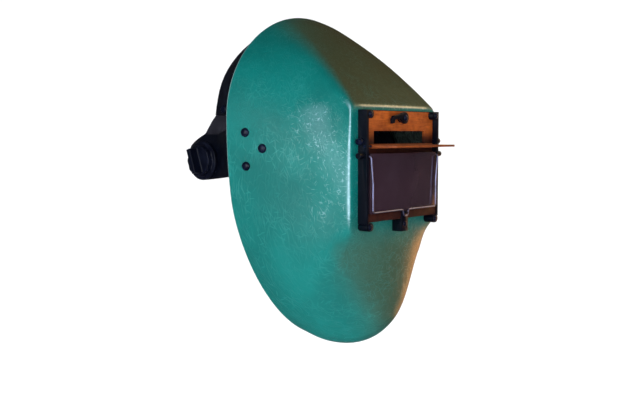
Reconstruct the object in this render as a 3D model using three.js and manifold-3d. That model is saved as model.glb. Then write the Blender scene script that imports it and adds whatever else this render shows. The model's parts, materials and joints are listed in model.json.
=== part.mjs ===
// Welding helmet: a moulded glass-fibre shell with a window assembly on its flat front,
// hung on a plastic head harness by two side pivots.
// Units are millimetres. +Z is up, the wearer faces -Y and the wearer's left is +X.
// The origin is the middle of the head band, where the helmet sits on a head.
import * as THREE from 'three';
import { mergeVertices } from 'three/addons/utils/BufferGeometryUtils.js';
import Module from 'manifold-3d';

const wasm = await Module();
wasm.setup();

// Clearances
const GAP = 0.3;
const RUNNING_GAP = 0.4;
const CUT = 5;

// Sides of small holes, pins and heads, and of larger round bodies
const SMALL_SIDES = 12;
const ROUND_SIDES = 20;

// Shell: the rim is an egg-shaped loop, the window face a flat rounded rectangle
const WALL = 2.4;
const RIM_Y = -45;
const RIM_HALF_WIDTH = 117;
const RIM_MID_Z = 20;
const RIM_RISE = 107;
const RIM_DROP = 223;
const RIM_TOP_SQUARENESS = 2;
const RIM_CHIN_SQUARENESS = 2.2;
const CHIN_SWEEP = 30;
const CHIN_SWEEP_START = 0.36;
const CHIN_SWEEP_POWER = 1.5;
const FACE_Y = -161;
const FACE_HALF_WIDTH = 72;
const FACE_TOP = 32;
const FACE_BOTTOM = -85;
const FACE_CORNER = 9;
const BROW_CORNER_ANGLE = 65;
const JAW_CORNER_ANGLE = -44;
const CORNER_SPREAD_ANGLE = 8;

// Shell sections from the window face (at 0) to the rim (at 1). Depth is the share of the way
// back and out the share of the way out, toward the brow, the side, the jaw and the chin.
const SHELL_SECTIONS = [
  { at: 0.00, browOut: 0.00, sideOut: 0.00, jawDepth: 0.00, jawOut: 0.00, chinDepth: 0.00, chinOut: 0.00 },
  { at: 0.15, browOut: 0.20, sideOut: 0.19, jawDepth: 0.10, jawOut: 0.17, chinDepth: 0.02, chinOut: 0.36 },
  { at: 0.35, browOut: 0.44, sideOut: 0.42, jawDepth: 0.21, jawOut: 0.46, chinDepth: 0.06, chinOut: 0.72 },
  { at: 0.55, browOut: 0.65, sideOut: 0.63, jawDepth: 0.38, jawOut: 0.74, chinDepth: 0.19, chinOut: 0.89 },
  { at: 0.75, browOut: 0.83, sideOut: 0.81, jawDepth: 0.62, jawOut: 0.95, chinDepth: 0.45, chinOut: 1.02 },
  { at: 0.90, browOut: 0.95, sideOut: 0.93, jawDepth: 0.83, jawOut: 1.00, chinDepth: 0.75, chinOut: 1.05 },
  { at: 1.00, browOut: 1.00, sideOut: 1.00, jawDepth: 1.00, jawOut: 1.00, chinDepth: 1.00, chinOut: 1.00 },
];
const LOOP_STEPS = 11;
const SIDE_STEPS = 13;
const BROW_STEPS = 7;
const CHIN_STEPS = 7;
const CORNER_STEPS = 3;

// Dark glass, a standard filter plate
const GLASS_WIDTH = 110;
const GLASS_HEIGHT = 56;
const GLASS_THICKNESS = 3;
const GLASS_TOP = -12.5;

// Window frame, on the window face
const FRAME_SIDE_MARGIN = 6;
const FRAME_HALF_WIDTH = GLASS_WIDTH / 2 + FRAME_SIDE_MARGIN;
const FRAME_TOP_MARGIN = 4;
const FRAME_BACK = 1.7;
const FLANGE_WALL = 3;
const FLANGE_DEPTH = 10.2;
const LUG_WIDTH = 11;
const LUG_HEIGHT = 8;
const LUG_LAP = 1;
const LUG_ROUND_STEPS = 5;
const FRAME_SCREW_RADIUS = 1.5;
const FRAME_SCREW_HEAD = 2.8;
const FRAME_SCREW_HEAD_HEIGHT = 1.6;

// Window board: a plate with the viewing slot, and a thicker seat for the dark glass
const BOARD_THICKNESS = 2.8;
const BOARD_TOP_MARGIN = 0.6;
const SLOT_HALF_WIDTH = 43;
const SLOT_BOTTOM = -4.5;
const SLOT_HEIGHT = 13;
const SEAT_RISE = 2.6;
const SEAT_LIP_HEIGHT = 7.5;
const SEAT_LIP_RISE = 2.2;
const VIEW_MARGIN = 6;

// Flap under the slot, shown standing out, and the latch above the slot
const FLAP_WIDTH = 103;
const FLAP_LENGTH = 30;
const FLAP_THICKNESS = 2;
const FLAP_CORNER = 5;
const FLAP_BARREL_RADIUS = 2.3;
const FLAP_ROD_RADIUS = 1.1;
const FLAP_HINGE_DROP = 1.4;
const LATCH_REACH = 22;
const LATCH_HEIGHT = 11.5;
const LATCH_THICKNESS = 3;
const LATCH_PIVOT_X = -1;
const LATCH_ABOVE_SLOT = 12.5;
// The latch's arm from its pivot end to the hooked tip and back, as shares of reach and half height
const LATCH_ARM = [
  { reach: 0.45, rise: 0.55 },
  { reach: 0.85, rise: 0.35 },
  { reach: 1.00, rise: -0.20 },
  { reach: 0.97, rise: -1.00 },
  { reach: 0.80, rise: -0.90 },
  { reach: 0.75, rise: -0.30 },
  { reach: 0.45, rise: -0.20 },
];
const LATCH_SCREW_RADIUS = 1.6;
const LATCH_SCREW_HEAD = 3;

// Bail of round wire that holds the glass, and its catch
const WIRE_RADIUS = 1;
const WIRE_SIDES = 6;
const WIRE_STEPS = 80;
const BAIL_CAP_RADIUS = 2.8;
const BAIL_CAP_LENGTH = 8;
const BAIL_CAP_END = 1.5;
const BAIL_PIVOT_DROP = 10;
const BAIL_SHOULDER_DROP = 26;
const BAIL_GLASS_MARGIN = 1.5;
const SIDE_SCREW_RADIUS = 1.2;
const SIDE_SCREW_COLLAR_RADIUS = 2.2;
const SIDE_SCREW_COLLAR_HEIGHT = 2.5;
const SIDE_SCREW_HEAD_RADIUS = 3.4;
const SIDE_SCREW_HEAD_HEIGHT = 5;
const SIDE_SCREW_RISE = 2.9;
const CATCH_WIDTH = 11;
const CATCH_HEIGHT = 20;
const CATCH_TONGUE = 0.9;
const CATCH_PEG_RADIUS = 1.5;
const CATCH_PEG_LENGTH = 3.2;
const BAIL_DIP = 6;
const BAIL_DIP_HALF_WIDTH = 3.4;

// Rivets and ear brackets inside the shell
const RIVET_SHANK_RADIUS = 2.3;
const RIVET_HEAD_RADIUS = 4.4;
const RIVET_HEAD_HEIGHT = 2.2;
const RIVET_TAIL_RADIUS = 3.6;
const RIVET_TAIL_HEIGHT = 1.6;
const RIVETS = [
  { name: 'top', fromRim: 20, abovePivot: 29 },
  { name: 'front', fromRim: 37, abovePivot: 14 },
  { name: 'bottom', fromRim: 20, abovePivot: -3 },
];
const BRACKET_THICKNESS = 3;
const BRACKET_EAR_RADIUS = 20;
const BRACKET_EAR_RISE = 27;
const BRACKET_MARGIN = 9;

// Head harness
const BAND_HALF_WIDTH = 80;
const BAND_HALF_LENGTH = 105;
const BAND_HEIGHT = 28;
const BAND_WALL = 2;
const BAND_TILT = 18;
const BAND_SEGMENTS = 48;
const EAR_PLATE_THICKNESS = 2.5;
const EAR_PLATE_TOP = 37;
const EAR_PLATE_BEND_Z = 18.5;
const EAR_PLATE_LEAN = 3;
const EAR_PLATE_RADIUS = 20;
const EAR_PLATE_NECK_Y = 24;
const EAR_PLATE_NECK_Z = 3.5;
const EAR_PLATE_SHOULDER_Z = 27.5;
const STRAP_WIDTH = 24;
const STRAP_THICKNESS = 2;
const STRAP_RISE = 112;
const STRAP_SIDE_MARGIN = 4;
const STRAP_INNER_HALF = BAND_HALF_WIDTH + STRAP_SIDE_MARGIN;
const STRAP_BASE_Z = 5;
const STRAP_END_ANGLE = 10;
const STRAP_MID_Y = -8;
const STRAP_LEAN = 26;
const STRAP_LEAN_START = 50;
const STRAP_SEGMENTS = 36;
const STRAP_STUD_RADIUS = 2;
const STRAP_STUD_HEAD = 4;
const STRAP_STUD_HEAD_HEIGHT = 1.2;

// Side pivots: a stud from the ear plate through the bracket into a wing knob
const PIVOT_Y = 20;
const PIVOT_Z = -22;
const STUD_RADIUS = 4;
const STUD_FLANGE_RADIUS = 6;
const STUD_FLANGE_HEIGHT = 1.1;
const KNOB_BASE_RADIUS = 20;
const KNOB_BASE_HEIGHT = 3;
const KNOB_BODY_RADIUS = 16.5;
const KNOB_BODY_HEIGHT = 5.5;
const KNOB_LOBES = 10;
const KNOB_LOBE_STEPS = 4;
const KNOB_LOBE_DEPTH = 1.1;
const KNOB_WING_LENGTH = 26;
const KNOB_WING_HEIGHT = 10;
const KNOB_WING_THICKNESS = 5;
const KNOB_WING_LEAN = 19;
const KNOB_BORE_DEPTH = 5;

const DEGREE = Math.PI / 180;
const AXIS = {
  x: new THREE.Vector3(1, 0, 0),
  y: new THREE.Vector3(0, 1, 0),
  z: new THREE.Vector3(0, 0, 1),
};

// Solids and geometry

function solidOf(geometry) {
  const bare = geometry.clone();
  bare.deleteAttribute('normal');
  bare.deleteAttribute('uv');
  const merged = mergeVertices(bare, 1e-4);
  const mesh = new wasm.Mesh({
    numProp: 3,
    vertProperties: new Float32Array(merged.attributes.position.array),
    triVerts: new Uint32Array(merged.index.array),
  });
  return new wasm.Manifold(mesh);
}

function geometryOf(solid) {
  const mesh = solid.getMesh();
  const geometry = new THREE.BufferGeometry();
  geometry.setAttribute('position', new THREE.BufferAttribute(mesh.vertProperties, 3));
  geometry.setIndex(new THREE.BufferAttribute(mesh.triVerts, 1));
  geometry.computeVertexNormals();
  return geometry;
}

function boxSolid(x0, x1, y0, y1, z0, z1) {
  const size = [x1 - x0, y1 - y0, z1 - z0].map(Math.abs);
  const geometry = new THREE.BoxGeometry(...size);
  geometry.translate((x0 + x1) / 2, (y0 + y1) / 2, (z0 + z1) / 2);
  return solidOf(geometry);
}

// A solid turned about an axis. Each profile point is [radius, distance along the axis].
function turnedSolid(profile, origin, axis, segments = ROUND_SIDES) {
  const points = profile.map(([radius, along]) => new THREE.Vector2(radius, along));
  const geometry = new THREE.LatheGeometry(points, segments);
  geometry.applyQuaternion(new THREE.Quaternion().setFromUnitVectors(AXIS.y, axis));
  geometry.translate(origin.x, origin.y, origin.z);
  return solidOf(geometry);
}

function rodSolid(radius, from, to, segments = ROUND_SIDES) {
  const axis = to.clone().sub(from);
  const length = axis.length();
  const profile = [[0, 0], [radius, 0], [radius, length], [0, length]];
  return turnedSolid(profile, from, axis.normalize(), segments);
}

// A plate whose outline lies in the YZ plane, from x0 to x1
function sidePlate(outline, x0, x1) {
  const shape = new THREE.Shape(outline.map(([y, z]) => new THREE.Vector2(y, z)));
  const geometry = new THREE.ExtrudeGeometry(shape, { depth: Math.abs(x1 - x0), bevelEnabled: false });
  geometry.applyMatrix4(new THREE.Matrix4().makeBasis(AXIS.y, AXIS.z, AXIS.x));
  geometry.translate(Math.min(x0, x1), 0, 0);
  return solidOf(geometry);
}

// A plate whose outline lies in the XZ plane, from y0 to y1
function frontPlate(outline, y0, y1) {
  const shape = new THREE.Shape(outline.map(([x, z]) => new THREE.Vector2(x, z)));
  const geometry = new THREE.ExtrudeGeometry(shape, { depth: Math.abs(y1 - y0), bevelEnabled: false });
  geometry.applyMatrix4(new THREE.Matrix4().makeBasis(AXIS.x, AXIS.z, AXIS.y.clone().negate()));
  geometry.translate(0, Math.max(y0, y1), 0);
  return solidOf(geometry);
}

// A plate whose outline lies in the XY plane, from z0 to z1
function flatPlate(outline, z0, z1) {
  const shape = new THREE.Shape(outline.map(([x, y]) => new THREE.Vector2(x, y)));
  const geometry = new THREE.ExtrudeGeometry(shape, { depth: Math.abs(z1 - z0), bevelEnabled: false });
  geometry.translate(0, 0, Math.min(z0, z1));
  return solidOf(geometry);
}

// The two sides of a polyline, as a closed outline of the given thickness
function stripOutline(points, thickness) {
  const near = [];
  const far = [];
  points.forEach((point, i) => {
    const before = points[Math.max(0, i - 1)];
    const after = points[Math.min(points.length - 1, i + 1)];
    const along = new THREE.Vector2(after[0] - before[0], after[1] - before[1]).normalize();
    near.push([point[0] - along.y * thickness / 2, point[1] + along.x * thickness / 2]);
    far.unshift([point[0] + along.y * thickness / 2, point[1] - along.x * thickness / 2]);
  });
  return near.concat(far);
}

// Shell surface

// A column of the section table at any station, on a smooth curve through its rows
function sectionShare(column, at) {
  const rows = SHELL_SECTIONS;
  const next = rows.findIndex((row) => row.at > at);
  const i = next < 0 ? rows.length - 2 : next - 1;
  const slopeAt = (k) => {
    const before = rows[Math.max(0, k - 1)];
    const after = rows[Math.min(rows.length - 1, k + 1)];
    return (after[column] - before[column]) / (after.at - before.at);
  };
  const span = rows[i + 1].at - rows[i].at;
  const t = (at - rows[i].at) / span;
  const start = rows[i][column];
  const end = rows[i + 1][column];
  return start * (1 + 2 * t) * (1 - t) ** 2
    + end * t * t * (3 - 2 * t)
    + span * slopeAt(i) * t * (1 - t) ** 2
    - span * slopeAt(i + 1) * t * t * (1 - t);
}

// How far back and out the shell has come at a station, toward a direction of the rim
function shellShares(rimAngle, at) {
  const side = { angle: 30, depth: at, out: sectionShare('sideOut', at) };
  const jaw = { depth: sectionShare('jawDepth', at), out: sectionShare('jawOut', at) };
  const chin = { depth: sectionShare('chinDepth', at), out: sectionShare('chinOut', at) };
  const brow = { depth: at, out: sectionShare('browOut', at) };
  const keys = [
    { angle: -90, ...chin },
    { angle: JAW_CORNER_ANGLE, ...jaw },
    { ...side, angle: -12 },
    side,
    { angle: BROW_CORNER_ANGLE, ...brow },
    { angle: 90, ...brow },
  ];
  const folded = Math.asin(Math.sin(rimAngle * DEGREE)) / DEGREE;
  const k = Math.min(keys.length - 2, keys.filter((key) => key.angle <= folded + 1e-6).length - 1);
  const t = THREE.MathUtils.smoothstep(folded, keys[k].angle, keys[k + 1].angle);
  return {
    depth: THREE.MathUtils.lerp(keys[k].depth, keys[k + 1].depth, t),
    out: THREE.MathUtils.lerp(keys[k].out, keys[k + 1].out, t),
  };
}

function rimPoint(rimAngle) {
  const c = Math.cos(rimAngle * DEGREE);
  const s = Math.sin(rimAngle * DEGREE);
  const power = 2 / (s > 0 ? RIM_TOP_SQUARENESS : RIM_CHIN_SQUARENESS);
  const x = RIM_HALF_WIDTH * Math.sign(c) * Math.abs(c) ** power;
  const rise = Math.sign(s) * Math.abs(s) ** power;
  const z = RIM_MID_Z + rise * (s > 0 ? RIM_RISE : RIM_DROP);
  const fall = Math.max(0, (-rise - CHIN_SWEEP_START) / (1 - CHIN_SWEEP_START));
  return new THREE.Vector3(x, RIM_Y - CHIN_SWEEP * fall ** CHIN_SWEEP_POWER, z);
}

// The directions round the shell: a point on the edge of the window face, counterclockwise
// as the wearer is faced, and the angle of the rim point that it runs out to
function shellDirections() {
  const corners = [
    { x: 1, top: true, start: 0, rim: BROW_CORNER_ANGLE, steps: BROW_STEPS },
    { x: -1, top: true, start: 90, rim: 180 - BROW_CORNER_ANGLE, steps: SIDE_STEPS },
    { x: -1, top: false, start: 180, rim: 180 - JAW_CORNER_ANGLE, steps: CHIN_STEPS },
    { x: 1, top: false, start: 270, rim: 360 + JAW_CORNER_ANGLE, steps: SIDE_STEPS },
  ];
  const directions = [];
  corners.forEach((corner, index) => {
    const centreX = corner.x * (FACE_HALF_WIDTH - FACE_CORNER);
    const centreZ = corner.top ? FACE_TOP - FACE_CORNER : FACE_BOTTOM + FACE_CORNER;
    for (let i = 0; i <= CORNER_STEPS; i += 1) {
      const share = i / CORNER_STEPS;
      const angle = (corner.start + 90 * share) * DEGREE;
      directions.push({
        x: centreX + FACE_CORNER * Math.cos(angle),
        z: centreZ + FACE_CORNER * Math.sin(angle),
        rim: corner.rim + CORNER_SPREAD_ANGLE * (2 * share - 1),
      });
    }
    const next = corners[(index + 1) % corners.length];
    const nextX = next.x * (FACE_HALF_WIDTH - FACE_CORNER);
    const nextZ = next.top ? FACE_TOP - FACE_CORNER : FACE_BOTTOM + FACE_CORNER;
    const endAngle = next.start * DEGREE + (index === 3 ? 2 * Math.PI : 0);
    const from = directions[directions.length - 1];
    const to = {
      x: nextX + FACE_CORNER * Math.cos(endAngle),
      z: nextZ + FACE_CORNER * Math.sin(endAngle),
      rim: next.rim - CORNER_SPREAD_ANGLE + (index === 3 ? 360 : 0),
    };
    for (let i = 1; i < corner.steps; i += 1) {
      const share = i / corner.steps;
      directions.push({
        x: THREE.MathUtils.lerp(from.x, to.x, share),
        z: THREE.MathUtils.lerp(from.z, to.z, share),
        rim: THREE.MathUtils.lerp(from.rim, to.rim, share),
      });
    }
  });
  return directions;
}

function shellPoint(direction, at) {
  const rim = rimPoint(direction.rim);
  const { depth, out } = shellShares(direction.rim, at);
  return new THREE.Vector3(
    THREE.MathUtils.lerp(direction.x, rim.x, out),
    THREE.MathUtils.lerp(FACE_Y, rim.y, depth),
    THREE.MathUtils.lerp(direction.z, rim.z, out),
  );
}

// Loops of the shell's surface moved inward, from the window face back to the rim
function shellLoops(inset) {
  const directions = shellDirections();
  const grid = [];
  for (let row = 0; row <= LOOP_STEPS; row += 1) {
    grid.push(directions.map((direction) => shellPoint(direction, row / LOOP_STEPS)));
  }
  const count = directions.length;
  const faceNormal = AXIS.y.clone().negate();
  return grid.map((loop, row) => loop.map((point, i) => {
    const around = loop[(i + 1) % count].clone().sub(loop[(i + count - 1) % count]);
    const back = grid[Math.min(LOOP_STEPS, row + 1)][i].clone().sub(grid[Math.max(0, row - 1)][i]);
    const normal = back.cross(around).normalize();
    if (row > 0) {
      return point.clone().addScaledVector(normal, -inset);
    }
    const mitre = normal.clone().add(faceNormal).divideScalar(1 + normal.dot(faceNormal));
    return point.clone().addScaledVector(mitre, -inset);
  }));
}

// The shell's form as one solid bowl, moved inward, its open end carried back past the rim
function bowlSolid(inset, rearExtension) {
  const loops = shellLoops(inset);
  if (rearExtension > 0) {
    const rim = loops[loops.length - 1];
    loops.push(rim.map((point) => point.clone().setY(point.y + rearExtension)));
  }
  const count = loops[0].length;
  const positions = [];
  const addPoint = (point) => positions.push(point.x, point.y, point.z);
  loops.flat().forEach(addPoint);
  const capCentre = (loop) => loop.reduce((sum, p) => sum.add(p), new THREE.Vector3()).divideScalar(count);
  addPoint(capCentre(loops[0]));
  addPoint(capCentre(loops[loops.length - 1]));
  const front = loops.length * count;
  const index = [];
  for (let i = 0; i < count; i += 1) {
    const j = (i + 1) % count;
    for (let row = 0; row + 1 < loops.length; row += 1) {
      const near = row * count;
      const far = near + count;
      index.push(near + i, far + i, near + j);
      index.push(near + j, far + i, far + j);
    }
    const last = (loops.length - 1) * count;
    index.push(front, i, j);
    index.push(front + 1, last + j, last + i);
  }
  const geometry = new THREE.BufferGeometry();
  geometry.setAttribute('position', new THREE.Float32BufferAttribute(positions, 3));
  geometry.setIndex(index);
  return solidOf(geometry);
}

// A point of the shell's outer surface on the wearer's left, at a given y and z, and its normal

function sideDirection(share) {
  return {
    x: FACE_HALF_WIDTH,
    z: THREE.MathUtils.lerp(FACE_BOTTOM + FACE_CORNER, FACE_TOP - FACE_CORNER, share),
    rim: THREE.MathUtils.lerp(
      JAW_CORNER_ANGLE + CORNER_SPREAD_ANGLE,
      BROW_CORNER_ANGLE - CORNER_SPREAD_ANGLE,
      share,
    ),
  };
}

// The share between 0 and 1 where a test turns from true to false
function bisect(test) {
  let low = 0;
  let high = 1;
  for (let i = 0; i < 30; i += 1) {
    const middle = (low + high) / 2;
    if (test(middle)) {
      low = middle;
    } else {
      high = middle;
    }
  }
  return low;
}

function sideSpot(y, z) {
  const step = 0.01;
  const stationOf = (direction) => bisect((at) => shellPoint(direction, at).y < y);
  const share = bisect((s) => shellPoint(sideDirection(s), stationOf(sideDirection(s))).z < z);
  const direction = sideDirection(share);
  const at = Math.min(stationOf(direction), 1 - step);
  const point = shellPoint(direction, at);
  const up = shellPoint(sideDirection(share + step), at).sub(point);
  const back = shellPoint(direction, at + step).sub(point);
  return { point, normal: back.cross(up).normalize() };
}

function mirrored(vector, side) {
  return new THREE.Vector3(vector.x * side, vector.y, vector.z);
}

// Levels of the window assembly, from the window face forward

const FRAME_TOP = FACE_TOP - FRAME_TOP_MARGIN;
const FRAME_BOTTOM = FACE_BOTTOM + GAP;
const FRAME_REAR_Y = FACE_Y - GAP;
const FRAME_PLATE_Y = FRAME_REAR_Y - FRAME_BACK;
const FLANGE_FRONT_Y = FRAME_REAR_Y - FLANGE_DEPTH;
const FLANGE_INNER_X = FRAME_HALF_WIDTH - FLANGE_WALL;
const BOARD_REAR_Y = FRAME_PLATE_Y - GAP;
const BOARD_FRONT_Y = BOARD_REAR_Y - BOARD_THICKNESS;
const BOARD_HALF_WIDTH = FLANGE_INNER_X - GAP;
const BOARD_TOP = FRAME_TOP - BOARD_TOP_MARGIN;
const SLOT_TOP = SLOT_BOTTOM + SLOT_HEIGHT;
const GLASS_BOTTOM = GLASS_TOP - GLASS_HEIGHT;
const BOARD_BOTTOM = GLASS_BOTTOM - GAP - SEAT_LIP_HEIGHT;
const SEAT_FRONT_Y = BOARD_FRONT_Y - SEAT_RISE;
const LIP_FRONT_Y = SEAT_FRONT_Y - SEAT_LIP_RISE;
const GLASS_REAR_Y = SEAT_FRONT_Y - GAP;
const GLASS_FRONT_Y = GLASS_REAR_Y - GLASS_THICKNESS;
const VIEW_HALF_WIDTH = GLASS_WIDTH / 2 - VIEW_MARGIN;
const VIEW_BOTTOM = GLASS_BOTTOM + VIEW_MARGIN;
const VIEW_TOP = GLASS_TOP - VIEW_MARGIN;
const WINDOW_TOP = SLOT_TOP + GAP;
const FRAME_PLATE_BOTTOM = FRAME_BOTTOM + LUG_HEIGHT - LUG_LAP;
const SIDE_SCREW_Y = (FLANGE_FRONT_Y + FRAME_REAR_Y) / 2;
const BAIL_PIVOT_Y = BOARD_FRONT_Y - WIRE_RADIUS - GAP;
const BAIL_PIVOT_Z = SLOT_BOTTOM - BAIL_PIVOT_DROP;
const SIDE_SCREW_Z = SLOT_BOTTOM + SIDE_SCREW_RISE;
const WIRE_Y = GLASS_FRONT_Y - GAP - WIRE_RADIUS;
const FLAP_HINGE_Y = BOARD_FRONT_Y - GAP - FLAP_BARREL_RADIUS;
const FLAP_HINGE_Z = SLOT_BOTTOM - FLAP_HINGE_DROP;
const LATCH_Z = SLOT_TOP + LATCH_ABOVE_SLOT;
const LATCH_REAR_Y = FLAP_HINGE_Y - FLAP_THICKNESS / 2 - RUNNING_GAP;
const LATCH_FRONT_Y = LATCH_REAR_Y - LATCH_THICKNESS;

function frameScrewSpots() {
  const x = FRAME_HALF_WIDTH - LUG_WIDTH / 2;
  const top = FRAME_TOP - LUG_HEIGHT / 2;
  const bottom = FRAME_BOTTOM + LUG_HEIGHT / 2;
  return [
    { name: 'top_right', x: -x, z: top },
    { name: 'top_left', x, z: top },
    { name: 'bottom_right', x: -x, z: bottom },
    { name: 'bottom_left', x, z: bottom },
  ];
}

const CATCH_SCREW_Z = (FACE_BOTTOM + FRAME_PLATE_BOTTOM) / 2;

// Holes for every screw that goes into the window face
function faceScrewHoles(y0, y1) {
  const radius = FRAME_SCREW_RADIUS + GAP;
  const spots = frameScrewSpots().concat([{ x: 0, z: CATCH_SCREW_Z }, { x: LATCH_PIVOT_X, z: LATCH_Z }]);
  return spots.map(({ x, z }) => {
    const rear = new THREE.Vector3(x, y0, z);
    return rodSolid(radius, rear, rear.clone().setY(y1), SMALL_SIDES);
  });
}

function cutAll(solid, tools) {
  return tools.reduce((rest, tool) => rest.subtract(tool), solid);
}

function addAll(solids) {
  return solids.reduce((sum, solid) => sum.add(solid));
}

function viewOpening(y0, y1) {
  return boxSolid(-VIEW_HALF_WIDTH, VIEW_HALF_WIDTH, y0, y1, VIEW_BOTTOM, WINDOW_TOP);
}

function rivetSpots() {
  return RIVETS.map((rivet) => ({
    name: rivet.name,
    ...sideSpot(RIM_Y - rivet.fromRim, PIVOT_Z + rivet.abovePivot),
  }));
}

function rivetHoles(side) {
  return rivetSpots().map(({ point, normal }) => rodSolid(
    RIVET_SHANK_RADIUS + GAP,
    mirrored(point.clone().addScaledVector(normal, -4 * CUT), side),
    mirrored(point.clone().addScaledVector(normal, CUT), side),
    SMALL_SIDES,
  ));
}

// How far below the shell's outer surface a rivet's tail begins
const RIVET_GRIP = WALL + GAP + BRACKET_THICKNESS + GAP;

function rivetTailSeats(side) {
  return rivetSpots().map(({ point, normal }) => rodSolid(
    RIVET_TAIL_RADIUS + GAP,
    mirrored(point.clone().addScaledVector(normal, -RIVET_GRIP - CUT), side),
    mirrored(point.clone().addScaledVector(normal, -RIVET_GRIP + GAP), side),
    SMALL_SIDES,
  ));
}

// Pieces of the shell

function shell() {
  const hollow = bowlSolid(WALL, 2 * CUT);
  const bowl = bowlSolid(0, 0).subtract(hollow);
  return cutAll(bowl, [
    viewOpening(FACE_Y - CUT, FACE_Y + CUT),
    ...faceScrewHoles(FACE_Y - CUT, FACE_Y + CUT),
    ...rivetHoles(1),
    ...rivetHoles(-1),
  ]);
}

function rivet(side, { point, normal }) {
  const depth = RIVET_GRIP;
  const profile = [
    [0, -depth - RIVET_TAIL_HEIGHT],
    [RIVET_TAIL_RADIUS, -depth - RIVET_TAIL_HEIGHT],
    [RIVET_TAIL_RADIUS, -depth],
    [RIVET_SHANK_RADIUS, -depth],
    [RIVET_SHANK_RADIUS, GAP],
    [RIVET_HEAD_RADIUS, GAP],
    [RIVET_HEAD_RADIUS * 0.8, GAP + RIVET_HEAD_HEIGHT * 0.7],
    [0, GAP + RIVET_HEAD_HEIGHT],
  ];
  return turnedSolid(profile, mirrored(point, side), mirrored(normal, side), SMALL_SIDES);
}

const EAR_INNER_X = BAND_HALF_WIDTH + GAP;
const BRACKET_INNER_X = EAR_INNER_X + EAR_PLATE_THICKNESS + RUNNING_GAP;
const KNOB_INNER_X = BRACKET_INNER_X + BRACKET_THICKNESS + RUNNING_GAP;

function pivotHole(side, radius) {
  return rodSolid(
    radius,
    new THREE.Vector3(side * (EAR_INNER_X - CUT), PIVOT_Y, PIVOT_Z),
    new THREE.Vector3(side * (KNOB_INNER_X + CUT), PIVOT_Y, PIVOT_Z),
    ROUND_SIDES,
  );
}

function arcPoints(centreAcross, centreZ, radius, from, to, steps) {
  return Array.from({ length: steps + 1 }, (_, i) => {
    const angle = THREE.MathUtils.lerp(from, to, i / steps) * DEGREE;
    return [centreAcross + radius * Math.cos(angle), centreZ + radius * Math.sin(angle)];
  });
}

// The bracket runs from the rivets back past the rim to the pivot
function earBracket(side) {
  const spots = rivetSpots();
  const inset = WALL + GAP + BRACKET_THICKNESS / 2;
  const padTop = PIVOT_Z + RIVETS[0].abovePivot;
  const padBottom = PIVOT_Z + RIVETS[2].abovePivot;
  const frontY = RIM_Y - RIVETS[1].fromRim - BRACKET_MARGIN;
  const rearPadY = RIM_Y - RIVETS[0].fromRim + BRACKET_MARGIN;
  const padPoint = (y) => {
    const { point, normal } = sideSpot(y, (padTop + padBottom) / 2);
    point.addScaledVector(normal, -inset);
    return [side * point.x, point.y];
  };
  const earX = side * (BRACKET_INNER_X + BRACKET_THICKNESS / 2);
  const strip = flatPlate(stripOutline([
    [earX, PIVOT_Y + BRACKET_EAR_RADIUS + GAP],
    [earX, PIVOT_Y - BRACKET_EAR_RADIUS],
    padPoint(rearPadY),
    padPoint(frontY),
  ], BRACKET_THICKNESS), -RIM_DROP, RIM_RISE);
  const outline = sidePlate([
    [PIVOT_Y, PIVOT_Z + BRACKET_EAR_RISE],
    [PIVOT_Y - BRACKET_EAR_RADIUS, PIVOT_Z + BRACKET_EAR_RISE],
    [rearPadY, padTop + BRACKET_MARGIN],
    [(rearPadY + frontY) / 2, padTop + BRACKET_MARGIN],
    [frontY, spots[1].point.z + BRACKET_MARGIN / 2],
    [frontY, spots[1].point.z - BRACKET_MARGIN / 2],
    [(rearPadY + frontY) / 2, padBottom - BRACKET_MARGIN],
    [rearPadY, padBottom - BRACKET_MARGIN],
    ...arcPoints(PIVOT_Y, PIVOT_Z, BRACKET_EAR_RADIUS, -90, 40, 6),
  ], side * (EAR_INNER_X - CUT), side * (RIM_HALF_WIDTH + CUT));
  const inside = bowlSolid(WALL + GAP, 4 * (PIVOT_Y - RIM_Y));
  return cutAll(strip.intersect(outline).intersect(inside), [
    pivotHole(side, STUD_RADIUS + RUNNING_GAP),
    ...rivetHoles(side),
    ...rivetTailSeats(side),
  ]);
}

// Pieces of the window

// The lugs at the frame's corners are round at both ends
function lugSolids(margin) {
  const radius = LUG_HEIGHT / 2 + margin;
  const outer = FRAME_HALF_WIDTH - LUG_HEIGHT / 2;
  const inner = FRAME_HALF_WIDTH - LUG_WIDTH + LUG_HEIGHT / 2;
  return [-1, 1].flatMap((side) => [FRAME_TOP - LUG_HEIGHT / 2, FRAME_BOTTOM + LUG_HEIGHT / 2].map((z) => {
    const right = Math.max(side * outer, side * inner);
    const left = Math.min(side * outer, side * inner);
    return frontPlate([
      ...arcPoints(right, z, radius, -90, 90, LUG_ROUND_STEPS),
      ...arcPoints(left, z, radius, 90, 270, LUG_ROUND_STEPS),
    ], FLANGE_FRONT_Y - margin, FRAME_REAR_Y);
  }));
}

function flangeHoles() {
  const spots = [
    { y: BAIL_PIVOT_Y, z: BAIL_PIVOT_Z, radius: WIRE_RADIUS + GAP },
    { y: SIDE_SCREW_Y, z: SIDE_SCREW_Z, radius: SIDE_SCREW_RADIUS },
    { y: FLAP_HINGE_Y, z: FLAP_HINGE_Z, radius: FLAP_ROD_RADIUS },
  ];
  return spots.map(({ y, z, radius }) => rodSolid(
    radius + GAP,
    new THREE.Vector3(-FRAME_HALF_WIDTH - CUT, y, z),
    new THREE.Vector3(FRAME_HALF_WIDTH + CUT, y, z),
    SMALL_SIDES,
  ));
}

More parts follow.
